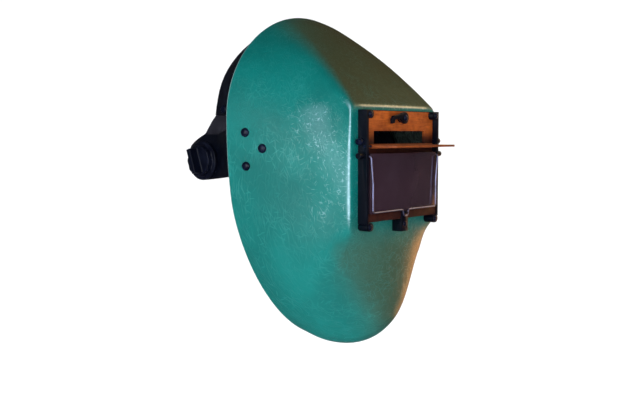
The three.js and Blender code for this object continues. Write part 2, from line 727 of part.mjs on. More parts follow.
function windowFrame() {
  const half = FRAME_HALF_WIDTH;
  const plate = boxSolid(-half, half, FRAME_REAR_Y, FRAME_PLATE_Y, FRAME_PLATE_BOTTOM, FRAME_TOP);
  const flanges = [-1, 1].map((side) => boxSolid(
    side * FLANGE_INNER_X,
    side * half,
    FRAME_REAR_Y,
    FLANGE_FRONT_Y,
    FRAME_PLATE_BOTTOM,
    FRAME_TOP,
  ));
  return cutAll(addAll([plate, ...flanges, ...lugSolids(0)]), [
    viewOpening(FRAME_REAR_Y + CUT, FRAME_PLATE_Y - CUT),
    ...faceScrewHoles(FRAME_REAR_Y + CUT, FLANGE_FRONT_Y - CUT),
    ...flangeHoles(),
  ]);
}

function windowBoard() {
  const half = BOARD_HALF_WIDTH;
  const seatTop = GLASS_TOP + GAP;
  const seatHalf = GLASS_WIDTH / 2 + GAP;
  const plate = boxSolid(-half, half, BOARD_REAR_Y, BOARD_FRONT_Y, BOARD_BOTTOM, BOARD_TOP);
  const seat = boxSolid(-seatHalf, seatHalf, BOARD_REAR_Y, SEAT_FRONT_Y, BOARD_BOTTOM, seatTop);
  const lip = boxSolid(-half, half, BOARD_REAR_Y, LIP_FRONT_Y, BOARD_BOTTOM, BOARD_BOTTOM + SEAT_LIP_HEIGHT);
  const rear = BOARD_REAR_Y + CUT;
  const front = LIP_FRONT_Y - CUT;
  return cutAll(addAll([plate, seat, lip]), [
    boxSolid(-SLOT_HALF_WIDTH, SLOT_HALF_WIDTH, rear, front, SLOT_BOTTOM, SLOT_TOP),
    boxSolid(-VIEW_HALF_WIDTH, VIEW_HALF_WIDTH, rear, front, VIEW_BOTTOM, VIEW_TOP),
    ...lugSolids(GAP),
    rodSolid(
      LATCH_SCREW_RADIUS + GAP,
      new THREE.Vector3(LATCH_PIVOT_X, rear, LATCH_Z),
      new THREE.Vector3(LATCH_PIVOT_X, front, LATCH_Z),
      SMALL_SIDES,
    ),
  ]);
}

function darkGlass() {
  return boxSolid(-GLASS_WIDTH / 2, GLASS_WIDTH / 2, GLASS_REAR_Y, GLASS_FRONT_Y, GLASS_BOTTOM, GLASS_TOP);
}

// A headed screw or pin that lies along an axis, its head on the outside
function headedPin(seat, axis, shankRadius, shankLength, headRadius, headHeight) {
  const profile = [
    [0, -shankLength],
    [shankRadius, -shankLength],
    [shankRadius, 0],
    [headRadius, 0],
    [headRadius, headHeight * 0.6],
    [headRadius * 0.7, headHeight],
    [0, headHeight],
  ];
  return turnedSolid(profile, seat, axis, SMALL_SIDES);
}

function faceScrew(x, z, seatY, shankRadius, headRadius) {
  const seat = new THREE.Vector3(x, seatY - GAP, z);
  const length = FACE_Y + WALL - seat.y;
  const forward = AXIS.y.clone().negate();
  return headedPin(seat, forward, shankRadius, length, headRadius, FRAME_SCREW_HEAD_HEIGHT);
}

// The side screws stand out on a collar under a round head
function sideScrew(side) {
  const seatX = FRAME_HALF_WIDTH + GAP;
  const neck = SIDE_SCREW_COLLAR_HEIGHT;
  const head = SIDE_SCREW_HEAD_HEIGHT;
  const profile = [
    [0, FLANGE_INNER_X + GAP - seatX],
    [SIDE_SCREW_RADIUS, FLANGE_INNER_X + GAP - seatX],
    [SIDE_SCREW_RADIUS, 0],
    [SIDE_SCREW_COLLAR_RADIUS, 0],
    [SIDE_SCREW_COLLAR_RADIUS, neck],
    [SIDE_SCREW_HEAD_RADIUS * 0.85, neck],
    [SIDE_SCREW_HEAD_RADIUS, neck + head * 0.25],
    [SIDE_SCREW_HEAD_RADIUS, neck + head * 0.6],
    [SIDE_SCREW_HEAD_RADIUS * 0.75, neck + head],
    [0, neck + head],
  ];
  const seat = new THREE.Vector3(side * seatX, SIDE_SCREW_Y, SIDE_SCREW_Z);
  return turnedSolid(profile, seat, new THREE.Vector3(side, 0, 0), SMALL_SIDES);
}

// A cap on each end of the bail's wire, outside the frame
function bailCap(side) {
  const inner = new THREE.Vector3(side * (FRAME_HALF_WIDTH + GAP), BAIL_PIVOT_Y, BAIL_PIVOT_Z);
  const outer = inner.clone().setX(side * (FRAME_HALF_WIDTH + GAP + BAIL_CAP_LENGTH));
  const end = outer.clone().setX(outer.x - side * BAIL_CAP_END);
  const bore = rodSolid(WIRE_RADIUS + GAP, inner.clone().setX(inner.x - side * CUT), end, SMALL_SIDES);
  return rodSolid(BAIL_CAP_RADIUS, inner, outer, SMALL_SIDES).subtract(bore);
}

// The flap lies level in its rest place and folds up over the slot
function slotFlap() {
  const half = FLAP_WIDTH / 2;
  const tip = FLAP_HINGE_Y - FLAP_LENGTH;
  const plate = flatPlate([
    [-half, FLAP_HINGE_Y],
    [-half, tip + FLAP_CORNER],
    [-half + FLAP_CORNER * 0.3, tip + FLAP_CORNER * 0.3],
    [-half + FLAP_CORNER, tip],
    [half - FLAP_CORNER, tip],
    [half - FLAP_CORNER * 0.3, tip + FLAP_CORNER * 0.3],
    [half, tip + FLAP_CORNER],
    [half, FLAP_HINGE_Y],
  ], FLAP_HINGE_Z - FLAP_THICKNESS / 2, FLAP_HINGE_Z + FLAP_THICKNESS / 2);
  const end = new THREE.Vector3(half, FLAP_HINGE_Y, FLAP_HINGE_Z);
  const barrel = rodSolid(FLAP_BARREL_RADIUS, mirrored(end, -1), end, SMALL_SIDES);
  const bore = rodSolid(
    FLAP_ROD_RADIUS + GAP,
    new THREE.Vector3(-half - CUT, FLAP_HINGE_Y, FLAP_HINGE_Z),
    new THREE.Vector3(half + CUT, FLAP_HINGE_Y, FLAP_HINGE_Z),
    SMALL_SIDES,
  );
  return plate.add(barrel).subtract(bore);
}

function flapRod() {
  const end = new THREE.Vector3(FRAME_HALF_WIDTH, FLAP_HINGE_Y, FLAP_HINGE_Z);
  return rodSolid(FLAP_ROD_RADIUS, mirrored(end, -1), end, SMALL_SIDES);
}

// The latch has a round pivot end, a boss behind it and a hooked tip
function turnLatch() {
  const x = LATCH_PIVOT_X;
  const half = LATCH_HEIGHT / 2;
  const outline = arcPoints(x, LATCH_Z, half, -100, 100, 8).concat(LATCH_ARM.map(({ reach, rise }) => (
    [x - LATCH_REACH * reach, LATCH_Z + half * rise]
  )));
  const arm = frontPlate(outline, LATCH_REAR_Y, LATCH_FRONT_Y);
  const boss = rodSolid(
    half * 0.8,
    new THREE.Vector3(x, BOARD_FRONT_Y - GAP, LATCH_Z),
    new THREE.Vector3(x, LATCH_FRONT_Y, LATCH_Z),
    SMALL_SIDES,
  );
  const bore = rodSolid(
    LATCH_SCREW_RADIUS + GAP,
    new THREE.Vector3(x, BOARD_FRONT_Y + CUT, LATCH_Z),
    new THREE.Vector3(x, LATCH_FRONT_Y - CUT, LATCH_Z),
    SMALL_SIDES,
  );
  return arm.add(boss).subtract(bore);
}

// The bail's wire: from a cap through each flange, in front of the glass, round the peg
function bailPath() {
  const endX = FRAME_HALF_WIDTH + BAIL_CAP_LENGTH - BAIL_CAP_END;
  const channelX = FLANGE_INNER_X - RUNNING_GAP - WIRE_RADIUS;
  const legX = GLASS_WIDTH / 2 - BAIL_GLASS_MARGIN;
  const bottom = GLASS_BOTTOM + WIRE_RADIUS;
  const dip = BAIL_DIP_HALF_WIDTH;
  const half = [
    [endX, BAIL_PIVOT_Y, BAIL_PIVOT_Z],
    [channelX, BAIL_PIVOT_Y, BAIL_PIVOT_Z],
    [channelX, WIRE_Y, BAIL_PIVOT_Z - WIRE_RADIUS],
    [legX, WIRE_Y, BAIL_PIVOT_Z - BAIL_SHOULDER_DROP],
    [legX, WIRE_Y, bottom + 3 * WIRE_RADIUS],
    [legX - 3 * WIRE_RADIUS, WIRE_Y, bottom],
    [dip + 3 * WIRE_RADIUS, WIRE_Y, bottom],
    [dip, WIRE_Y, bottom - BAIL_DIP * 0.7],
  ];
  const points = half.map(([x, y, z]) => new THREE.Vector3(x, y, z));
  const middle = new THREE.Vector3(0, WIRE_Y, bottom - BAIL_DIP);
  return points.concat([middle], points.slice().reverse().map((point) => mirrored(point, -1)));
}

function glassBail() {
  const bends = bailPath();
  const path = new THREE.CurvePath();
  bends.slice(1).forEach((bend, i) => path.add(new THREE.LineCurve3(bends[i], bend)));
  const smooth = new THREE.CatmullRomCurve3(path.getSpacedPoints(WIRE_STEPS), false, 'centripetal');
  const section = new THREE.Shape(Array.from({ length: WIRE_SIDES }, (_, i) => {
    const angle = 2 * Math.PI * i / WIRE_SIDES;
    return new THREE.Vector2(WIRE_RADIUS * Math.cos(angle), WIRE_RADIUS * Math.sin(angle));
  }));
  return solidOf(new THREE.ExtrudeGeometry(section, { steps: WIRE_STEPS, extrudePath: smooth }));
}

function bailCatch() {
  const half = CATCH_WIDTH / 2;
  const tongueY = LIP_FRONT_Y - GAP;
  const frontY = tongueY - CATCH_TONGUE;
  const bottom = BOARD_BOTTOM + SEAT_LIP_HEIGHT - CATCH_HEIGHT;
  const footTop = FRAME_PLATE_BOTTOM - GAP;
  const foot = boxSolid(-half, half, FRAME_REAR_Y, frontY, bottom, footTop);
  const tongue = boxSolid(-half, half, tongueY, frontY, footTop, BOARD_BOTTOM + SEAT_LIP_HEIGHT);
  const pegZ = GLASS_BOTTOM + 2 * (WIRE_RADIUS + RUNNING_GAP) - BAIL_DIP + CATCH_PEG_RADIUS;
  const peg = rodSolid(
    CATCH_PEG_RADIUS,
    new THREE.Vector3(0, tongueY, pegZ),
    new THREE.Vector3(0, frontY - CATCH_PEG_LENGTH, pegZ),
    SMALL_SIDES,
  );
  const hole = rodSolid(
    FRAME_SCREW_RADIUS + GAP,
    new THREE.Vector3(0, FRAME_REAR_Y + CUT, CATCH_SCREW_Z),
    new THREE.Vector3(0, frontY - CUT, CATCH_SCREW_Z),
    SMALL_SIDES,
  );
  return addAll([foot, tongue, peg]).subtract(hole);
}

// Pieces of the head harness

function ellipsePath(path, halfX, halfY, segments, clockwise) {
  const points = Array.from({ length: segments }, (_, i) => {
    const angle = 2 * Math.PI * i / segments * (clockwise ? -1 : 1);
    return new THREE.Vector2(halfX * Math.cos(angle), halfY * Math.sin(angle));
  });
  path.setFromPoints(points);
  return path;
}

function headBand() {
  const innerX = BAND_HALF_WIDTH - BAND_WALL;
  const innerY = BAND_HALF_LENGTH - BAND_WALL;
  const shape = ellipsePath(new THREE.Shape(), BAND_HALF_WIDTH, BAND_HALF_LENGTH, BAND_SEGMENTS, false);
  shape.holes.push(ellipsePath(new THREE.Path(), innerX, innerY, BAND_SEGMENTS, true));
  const geometry = new THREE.ExtrudeGeometry(shape, { depth: BAND_HEIGHT, bevelEnabled: false });
  geometry.translate(0, 0, -BAND_HEIGHT / 2);
  geometry.rotateX(-BAND_TILT * DEGREE);
  return solidOf(geometry);
}

// The strap rises plainly from the ear plates, then leans forward over the crown
function strapMiddleY(z) {
  const rise = Math.max(0, z - STRAP_LEAN_START) / (STRAP_BASE_Z + STRAP_RISE - STRAP_LEAN_START);
  return STRAP_MID_Y - STRAP_LEAN * rise * rise;
}

const STRAP_STUD_Z = (EAR_PLATE_TOP + STRAP_BASE_Z + STRAP_RISE * Math.sin(STRAP_END_ANGLE * DEGREE)) / 2;

function strapStudHole(side) {
  const y = strapMiddleY(STRAP_STUD_Z);
  return rodSolid(
    STRAP_STUD_RADIUS + GAP,
    new THREE.Vector3(side * (EAR_INNER_X - 2 * CUT), y, STRAP_STUD_Z),
    new THREE.Vector3(side * (EAR_INNER_X + 2 * CUT), y, STRAP_STUD_Z),
    SMALL_SIDES,
  );
}

function strapX(z, thickness) {
  const rise = (z - STRAP_BASE_Z) / (STRAP_RISE + thickness);
  return (STRAP_INNER_HALF + thickness) * Math.sqrt(1 - rise * rise);
}

function crownStrap() {
  const arc = (thickness, reversed) => {
    const points = Array.from({ length: STRAP_SEGMENTS + 1 }, (_, i) => {
      const sweep = THREE.MathUtils.lerp(STRAP_END_ANGLE, 180 - STRAP_END_ANGLE, i / STRAP_SEGMENTS);
      const angle = sweep * DEGREE;
      return [
        (STRAP_INNER_HALF + thickness) * Math.cos(angle),
        STRAP_BASE_Z + (STRAP_RISE + thickness) * Math.sin(angle),
      ];
    });
    return reversed ? points.reverse() : points;
  };
  const outline = arc(STRAP_THICKNESS, false).concat(arc(0, true));
  const shape = new THREE.Shape(outline.map(([x, z]) => new THREE.Vector2(x, z)));
  const geometry = new THREE.ExtrudeGeometry(shape, { depth: STRAP_WIDTH, bevelEnabled: false });
  geometry.applyMatrix4(new THREE.Matrix4().makeBasis(AXIS.x, AXIS.z, AXIS.y.clone().negate()));
  const position = geometry.attributes.position;
  for (let i = 0; i < position.count; i += 1) {
    const y = position.getY(i) + STRAP_WIDTH / 2 + strapMiddleY(position.getZ(i));
    position.setY(i, y);
  }
  return cutAll(solidOf(geometry), [strapStudHole(1), strapStudHole(-1)]);
}

function strapStud(side) {
  const seat = new THREE.Vector3(
    side * (strapX(STRAP_STUD_Z, STRAP_THICKNESS) + 3 * GAP),
    strapMiddleY(STRAP_STUD_Z),
    STRAP_STUD_Z,
  );
  const length = Math.abs(seat.x) - EAR_INNER_X + EAR_PLATE_LEAN;
  const axis = new THREE.Vector3(side, 0, 0);
  return headedPin(seat, axis, STRAP_STUD_RADIUS, length, STRAP_STUD_HEAD, STRAP_STUD_HEAD_HEIGHT);
}

function earPlate(side) {
  const middle = EAR_INNER_X + EAR_PLATE_THICKNESS / 2;
  const strip = frontPlate(stripOutline([
    [side * middle, PIVOT_Z - EAR_PLATE_RADIUS - CUT],
    [side * middle, EAR_PLATE_BEND_Z],
    [side * (middle - EAR_PLATE_LEAN), EAR_PLATE_TOP + GAP],
  ], EAR_PLATE_THICKNESS), PIVOT_Y + 2 * EAR_PLATE_RADIUS, PIVOT_Y - 3 * EAR_PLATE_RADIUS);
  const strapHalf = STRAP_WIDTH / 2;
  const strapY = strapMiddleY(EAR_PLATE_TOP);
  const outline = sidePlate([
    ...arcPoints(PIVOT_Y, PIVOT_Z, EAR_PLATE_RADIUS, -110, 20, 6),
    [EAR_PLATE_NECK_Y, EAR_PLATE_NECK_Z],
    [strapY + strapHalf, EAR_PLATE_SHOULDER_Z],
    [strapY + strapHalf, EAR_PLATE_TOP],
    [strapY - strapHalf, EAR_PLATE_TOP],
    [strapY - strapHalf, EAR_PLATE_BEND_Z],
    [PIVOT_Y - 2 * EAR_PLATE_RADIUS, 0],
    [PIVOT_Y - 2 * EAR_PLATE_RADIUS, PIVOT_Z],
  ], side * (EAR_INNER_X - 2 * CUT), side * (EAR_INNER_X + 2 * CUT));
  return cutAll(strip.intersect(outline), [
    pivotHole(side, STUD_RADIUS + GAP),
    strapStudHole(side),
  ]);
}

function pivotStud(side) {
  const flangeX = EAR_INNER_X - GAP - STUD_FLANGE_HEIGHT;
  const tipX = KNOB_INNER_X + KNOB_BORE_DEPTH - GAP;
  const profile = [
    [0, 0],
    [STUD_FLANGE_RADIUS, 0],
    [STUD_FLANGE_RADIUS, STUD_FLANGE_HEIGHT],
    [STUD_RADIUS, STUD_FLANGE_HEIGHT],
    [STUD_RADIUS, tipX - flangeX],
    [0, tipX - flangeX],
  ];
  const origin = new THREE.Vector3(side * flangeX, PIVOT_Y, PIVOT_Z);
  return turnedSolid(profile, origin, new THREE.Vector3(side, 0, 0), ROUND_SIDES);
}

// Wing knob: a round base, a fluted body and a grip across its face
function tensionKnob(side) {
  const start = side * KNOB_INNER_X;
  const bodyX = side * (KNOB_INNER_X + KNOB_BASE_HEIGHT);
  const faceX = side * (KNOB_INNER_X + KNOB_BASE_HEIGHT + KNOB_BODY_HEIGHT);
  const wingX = faceX + side * KNOB_WING_HEIGHT;
  const base = sidePlate(arcPoints(PIVOT_Y, PIVOT_Z, KNOB_BASE_RADIUS, 0, 350, 35), start, bodyX);
  const steps = KNOB_LOBES * KNOB_LOBE_STEPS;
  const flutes = Array.from({ length: steps }, (_, i) => {
    const angle = 2 * Math.PI * i / steps;
    const radius = KNOB_BODY_RADIUS - KNOB_LOBE_DEPTH * (0.5 - 0.5 * Math.cos(KNOB_LOBES * angle));
    return [PIVOT_Y + radius * Math.cos(angle), PIVOT_Z + radius * Math.sin(angle)];
  });
  const body = sidePlate(flutes, start, faceX);
  const lean = KNOB_WING_LEAN * DEGREE;
  const along = [Math.sin(lean), Math.cos(lean)];
  const across = [Math.cos(lean), -Math.sin(lean)];
  const corner = (a, b) => [
    PIVOT_Y + a * KNOB_WING_LENGTH / 2 * along[0] + b * KNOB_WING_THICKNESS / 2 * across[0],
    PIVOT_Z + a * KNOB_WING_LENGTH / 2 * along[1] + b * KNOB_WING_THICKNESS / 2 * across[1],
  ];
  const wing = sidePlate([corner(-1, -1), corner(-1, 1), corner(1, 1), corner(1, -1)], bodyX, wingX);
  const bore = rodSolid(
    STUD_RADIUS + GAP,
    new THREE.Vector3(side * (KNOB_INNER_X - CUT), PIVOT_Y, PIVOT_Z),
    new THREE.Vector3(side * (KNOB_INNER_X + KNOB_BORE_DEPTH), PIVOT_Y, PIVOT_Z),
    ROUND_SIDES,
  );
  return addAll([base, body, wing]).subtract(bore);
}

// Finishes

const GLASS_FIBRE = { color: 0x1f8175, roughness: 0.3, metalness: 0 };
const BLACK_PLASTIC = { color: 0x17181c, roughness: 0.45, metalness: 0 };
const BROWN_LAMINATE = { color: 0x7a4524, roughness: 0.5, metalness: 0 };
const DARK_GLASS = { color: 0x3a2a33, roughness: 0.08, metalness: 0 };
const BRIGHT_WIRE = { color: 0xc9cdd2, roughness: 0.25, metalness: 1 };

// The whole helmet

function addPiece(group, name, solid, finish) {
  const mesh = new THREE.Mesh(geometryOf(solid), new THREE.MeshStandardMaterial(finish));
  mesh.name = name;
  group.add(mesh);
}

function shellGroup() {
  const group = new THREE.Group();
  addPiece(group, 'shell', shell(), GLASS_FIBRE);
  [[-1, 'right'], [1, 'left']].forEach(([side, hand]) => {
    addPiece(group, `ear_bracket_${hand}`, earBracket(side), BLACK_PLASTIC);
    rivetSpots().forEach((spot) => {
      addPiece(group, `shell_rivet_${hand}_${spot.name}`, rivet(side, spot), BLACK_PLASTIC);
    });
  });
  return group;
}

function windowGroup() {
  const group = new THREE.Group();
  addPiece(group, 'window_frame', windowFrame(), BLACK_PLASTIC);
  addPiece(group, 'window_board', windowBoard(), BROWN_LAMINATE);
  addPiece(group, 'dark_glass', darkGlass(), DARK_GLASS);
  addPiece(group, 'slot_flap', slotFlap(), BROWN_LAMINATE);
  addPiece(group, 'flap_rod', flapRod(), BLACK_PLASTIC);
  addPiece(group, 'turn_latch', turnLatch(), BLACK_PLASTIC);
  addPiece(group, 'latch_screw', latchScrew(), BLACK_PLASTIC);
  addPiece(group, 'glass_bail', glassBail(), BRIGHT_WIRE);
  addPiece(group, 'bail_catch', bailCatch(), BLACK_PLASTIC);
  addPiece(group, 'catch_screw', catchScrew(), BLACK_PLASTIC);
  frameScrewSpots().forEach(({ name, x, z }) => {
    const screw = faceScrew(x, z, FLANGE_FRONT_Y, FRAME_SCREW_RADIUS, FRAME_SCREW_HEAD);
    addPiece(group, `frame_screw_${name}`, screw, BLACK_PLASTIC);
  });
  [[-1, 'right'], [1, 'left']].forEach(([side, hand]) => {
    addPiece(group, `bail_cap_${hand}`, bailCap(side), BLACK_PLASTIC);
    addPiece(group, `side_screw_${hand}`, sideScrew(side), BLACK_PLASTIC);
  });
  return group;
}

function latchScrew() {
  return faceScrew(LATCH_PIVOT_X, LATCH_Z, LATCH_FRONT_Y, FRAME_SCREW_RADIUS, LATCH_SCREW_HEAD);
}

function catchScrew() {
  const seatY = LIP_FRONT_Y - GAP - CATCH_TONGUE;
  return faceScrew(0, CATCH_SCREW_Z, seatY, FRAME_SCREW_RADIUS, FRAME_SCREW_HEAD);
}

function harnessGroup() {
  const group = new THREE.Group();
  addPiece(group, 'head_band', headBand(), BLACK_PLASTIC);
  addPiece(group, 'crown_strap', crownStrap(), BLACK_PLASTIC);
  [[-1, 'right'], [1, 'left']].forEach(([side, hand]) => {
    addPiece(group, `strap_stud_${hand}`, strapStud(side), BLACK_PLASTIC);
    addPiece(group, `ear_plate_${hand}`, earPlate(side), BLACK_PLASTIC);
    addPiece(group, `pivot_stud_${hand}`, pivotStud(side), BLACK_PLASTIC);
    addPiece(group, `tension_knob_${hand}`, tensionKnob(side), BLACK_PLASTIC);
  });
  return group;
}

const helmet = new THREE.Group();
helmet.add(shellGroup(), windowGroup(), harnessGroup());

export default helmet;
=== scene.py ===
"""Looks of the welding helmet: shell, window, harness, light and camera.

Sizes are in millimetres in the classes and become metres where a mesh is made. The frame is the
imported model's: +Z up, the wearer faces -Y, the wearer's left is +X, the origin is the head seat.
"""
from __future__ import annotations

import functools
import json
import logging
import math
from dataclasses import dataclass, field, fields
from enum import Enum
from typing import Any, Callable, ClassVar, Iterable, Sequence, Union

import bmesh
import bpy
import numpy as np
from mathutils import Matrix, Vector

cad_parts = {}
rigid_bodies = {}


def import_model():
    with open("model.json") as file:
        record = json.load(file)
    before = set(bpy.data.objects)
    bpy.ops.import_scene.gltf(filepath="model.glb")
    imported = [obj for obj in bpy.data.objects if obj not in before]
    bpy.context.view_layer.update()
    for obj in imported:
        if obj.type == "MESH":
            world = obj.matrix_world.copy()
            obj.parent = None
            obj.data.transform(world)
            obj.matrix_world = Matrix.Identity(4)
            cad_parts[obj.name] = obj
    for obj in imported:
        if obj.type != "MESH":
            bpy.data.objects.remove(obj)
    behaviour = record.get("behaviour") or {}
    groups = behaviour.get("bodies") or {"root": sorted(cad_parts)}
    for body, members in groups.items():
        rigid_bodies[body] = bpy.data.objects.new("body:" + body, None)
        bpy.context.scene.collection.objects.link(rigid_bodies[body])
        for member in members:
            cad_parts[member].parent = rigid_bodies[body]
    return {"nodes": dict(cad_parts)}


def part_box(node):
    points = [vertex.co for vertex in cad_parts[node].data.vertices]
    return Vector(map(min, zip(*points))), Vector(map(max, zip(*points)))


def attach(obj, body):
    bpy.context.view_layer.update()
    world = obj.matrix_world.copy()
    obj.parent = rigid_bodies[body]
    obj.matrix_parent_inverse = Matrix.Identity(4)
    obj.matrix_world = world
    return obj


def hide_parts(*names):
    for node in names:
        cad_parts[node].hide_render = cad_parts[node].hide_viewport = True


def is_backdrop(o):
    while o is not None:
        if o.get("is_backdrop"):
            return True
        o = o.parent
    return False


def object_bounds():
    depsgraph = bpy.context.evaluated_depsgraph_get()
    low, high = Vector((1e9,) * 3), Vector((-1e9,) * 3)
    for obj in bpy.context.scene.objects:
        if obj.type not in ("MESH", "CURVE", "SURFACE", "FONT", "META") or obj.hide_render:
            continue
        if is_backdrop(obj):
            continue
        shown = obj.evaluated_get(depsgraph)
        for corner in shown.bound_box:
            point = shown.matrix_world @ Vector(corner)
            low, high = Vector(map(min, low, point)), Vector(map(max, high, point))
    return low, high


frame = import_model()

LOG = logging.getLogger("helmet")
MM = 0.001
# Points closer than this, in metres, become one.
MERGE_DISTANCE = 1e-6
# Keeps a direction that lies on a section's angle in that section, in degrees.
ANGLE_SLACK = 1e-6
Colour = Place = tuple[float, float, float]
Material, Object, Socket = bpy.types.Material, bpy.types.Object, bpy.types.NodeSocket
Operand = Union["Val", float, int]
SIDES = {"right": -1, "left": 1}


# Shader writing


def operator(operation: str, reflected: bool = False) -> Callable[["Val", "Operand"], "Val"]:
    """Makes one arithmetic method of Val; reflected where the plain number stands first."""
    def method(self: "Val", other: "Operand") -> "Val":
        """The operation on two operands."""
        first, second = (other, self) if reflected else (self, other)
        return self.shader.math(operation, first, second)

    return method


class Val:
    """A number that a shader works out at each point, with Python's arithmetic on it."""

    __add__ = __radd__ = operator("ADD")
    __sub__, __rsub__ = operator("SUBTRACT"), operator("SUBTRACT", reflected=True)
    __mul__ = __rmul__ = operator("MULTIPLY")
    __truediv__, __rtruediv__ = operator("DIVIDE"), operator("DIVIDE", reflected=True)

    def __init__(self, shader: "Shader", socket: Socket) -> None:
        """Wraps an output socket of a shader."""
        self.shader = shader
        self.socket = socket

    def most(self, other: Operand) -> "Val":
        """The larger of two values."""
        return self.shader.math("MAXIMUM", self, other)

    def ramp(self, low: float, high: float) -> "Val":
        """A smooth step from 0 at low to 1 at high; low may be the larger."""
        node = self.shader.node(
            "ShaderNodeMapRange",
            {"interpolation_type": "SMOOTHSTEP", "clamp": True},
            {0: self, 1: low, 2: high, 3: 0.0, 4: 1.0},
        )
        return Val(self.shader, node.outputs[0])


class NodeTree:
    """A node tree, and the one way in which its nodes are made and fed."""

    tree: bpy.types.NodeTree

    def node(
        self,
        kind: str,
        settings: dict[str, Any] | None = None,
        inputs: dict[str | int, Any] | None = None,
    ) -> bpy.types.Node:
        """Adds a node; its inputs go by socket name or number."""
        made = self.tree.nodes.new(kind)
        for key, value in (settings or {}).items():
            setattr(made, key, value)
        for key, value in (inputs or {}).items():
            self.feed(made.inputs[key], value)
        return made

    def feed(self, socket: Socket, value: Any) -> None:
        """Links or sets one input, from a Val, a socket, a plain value or a list of sockets."""
        if isinstance(value, list) and any(isinstance(item, Socket) for item in value):
            for item in value:
                self.feed(socket, item)
        elif isinstance(value, Val):
            self.tree.links.new(value.socket, socket)
        elif isinstance(value, Socket):
            self.tree.links.new(value, socket)
        else:
            socket.default_value = value


class Shader(NodeTree):
    """One material's node tree, and the few ways in which its nodes are made."""

    def __init__(self, name: str) -> None:
        """Makes an empty material."""
        self.material = bpy.data.materials.new(name)
        self.material.use_nodes = True
        self.tree = self.material.node_tree
        self.surface = self.tree.nodes["Principled BSDF"]

    def math(self, operation: str, *operands: Operand) -> Val:
        """One step of arithmetic."""
        node = self.node("ShaderNodeMath", {"operation": operation}, dict(enumerate(operands)))
        return Val(self, node.outputs[0])

    def position(self) -> Socket:
        """The place on the piece in millimetres."""
        return self.scaled(self.node("ShaderNodeTexCoord").outputs["Object"], 1 / MM)

    def along(self, direction: Sequence[float], vector: Socket) -> Val:
        """How far a vector reaches in a direction."""
        node = self.node("ShaderNodeVectorMath", {"operation": "DOT_PRODUCT"}, {0: vector, 1: direction})
        return Val(self, node.outputs["Value"])

    def scaled(self, vector: Socket, scale: float) -> Socket:
        """A vector times a number."""
        node = self.node("ShaderNodeVectorMath", {"operation": "SCALE"}, {0: vector, "Scale": scale})
        return node.outputs[0]

    def stretched(
        self,
        vector: Socket,
        sizes: Sequence[float],
        turn: Sequence[float] = (0, 0, 0),
    ) -> Socket:
        """A place counted in cells of given sizes in millimetres, on axes turned by degrees."""
        turned = self.node(
            "ShaderNodeMapping",
            {"vector_type": "POINT"},
            {"Vector": vector, "Rotation": [math.radians(a) for a in turn]},
        )
        counted = self.node(
            "ShaderNodeVectorMath",
            {"operation": "MULTIPLY"},
            {0: turned.outputs[0], 1: [1 / size for size in sizes]},
        )
        return counted.outputs[0]

    def noise(
        self, vector: Socket, size: float, detail: float = 3, rough: float = 0.5
    ) -> Val:
        """Cloudy noise with the given size of cloud, from 0 to 1."""
        node = self.node(
            "ShaderNodeTexNoise",
            {"noise_dimensions": "3D"},
            {"Vector": vector, "Scale": 1 / size, "Detail": detail, "Roughness": rough},
        )
        return Val(self, node.outputs[0])

    def attribute(self, name: str) -> Val:
        """A number that the mesh's points carry."""
        return Val(self, self.node("ShaderNodeAttribute", {"attribute_name": name}).outputs["Fac"])

    def mix(self, share: Operand, first: Any, second: Any) -> Socket:
        """Blends two colours or colour sockets; share is how much of the second."""
        def full(colour: Any) -> Any:
            """Adds the alpha that a colour socket needs."""
            return (*colour, 1.0) if isinstance(colour, tuple) and len(colour) == 3 else colour

        node = self.node(
            "ShaderNodeMix",
            {"data_type": "RGBA", "clamp_factor": True},
            {0: share, 6: full(first), 7: full(second)},
        )
        return node.outputs[2]

    def bump(
        self, height: Val, depth: float, under: Socket | None = None
    ) -> Socket:
        """Relief from a height of 0 to 1, with a depth in millimetres, over the relief under it."""
        inputs: dict[str | int, Any] = {"Height": height, "Strength": 1.0, "Distance": depth * MM}
        if under is not None:
            inputs["Normal"] = under
        return self.node("ShaderNodeBump", {}, inputs).outputs[0]

    def finish(self, **sockets: Any) -> Material:
        """Sets the surface's own sockets by name, with _ for a space."""
        for key, value in sockets.items():
            name = key.replace("_", " ")
            if isinstance(value, tuple) and len(value) == 3:
                value = (*value, 1.0)
            self.feed(self.surface.inputs[name], value)
        return self.material


# Finishes


@dataclass(frozen=True)
class Look:
    """How a material looks; each kind fills in its surface's sockets."""

    name: str

    def sockets(self, shader: Shader, place: Socket) -> dict[str, Any]:
        """The values of the surface's sockets, with _ for a space in a name."""
        raise NotImplementedError

    def make(self) -> Material:
        """Builds the material."""
        shader = Shader(self.name)
        return shader.finish(**self.sockets(shader, shader.position()))


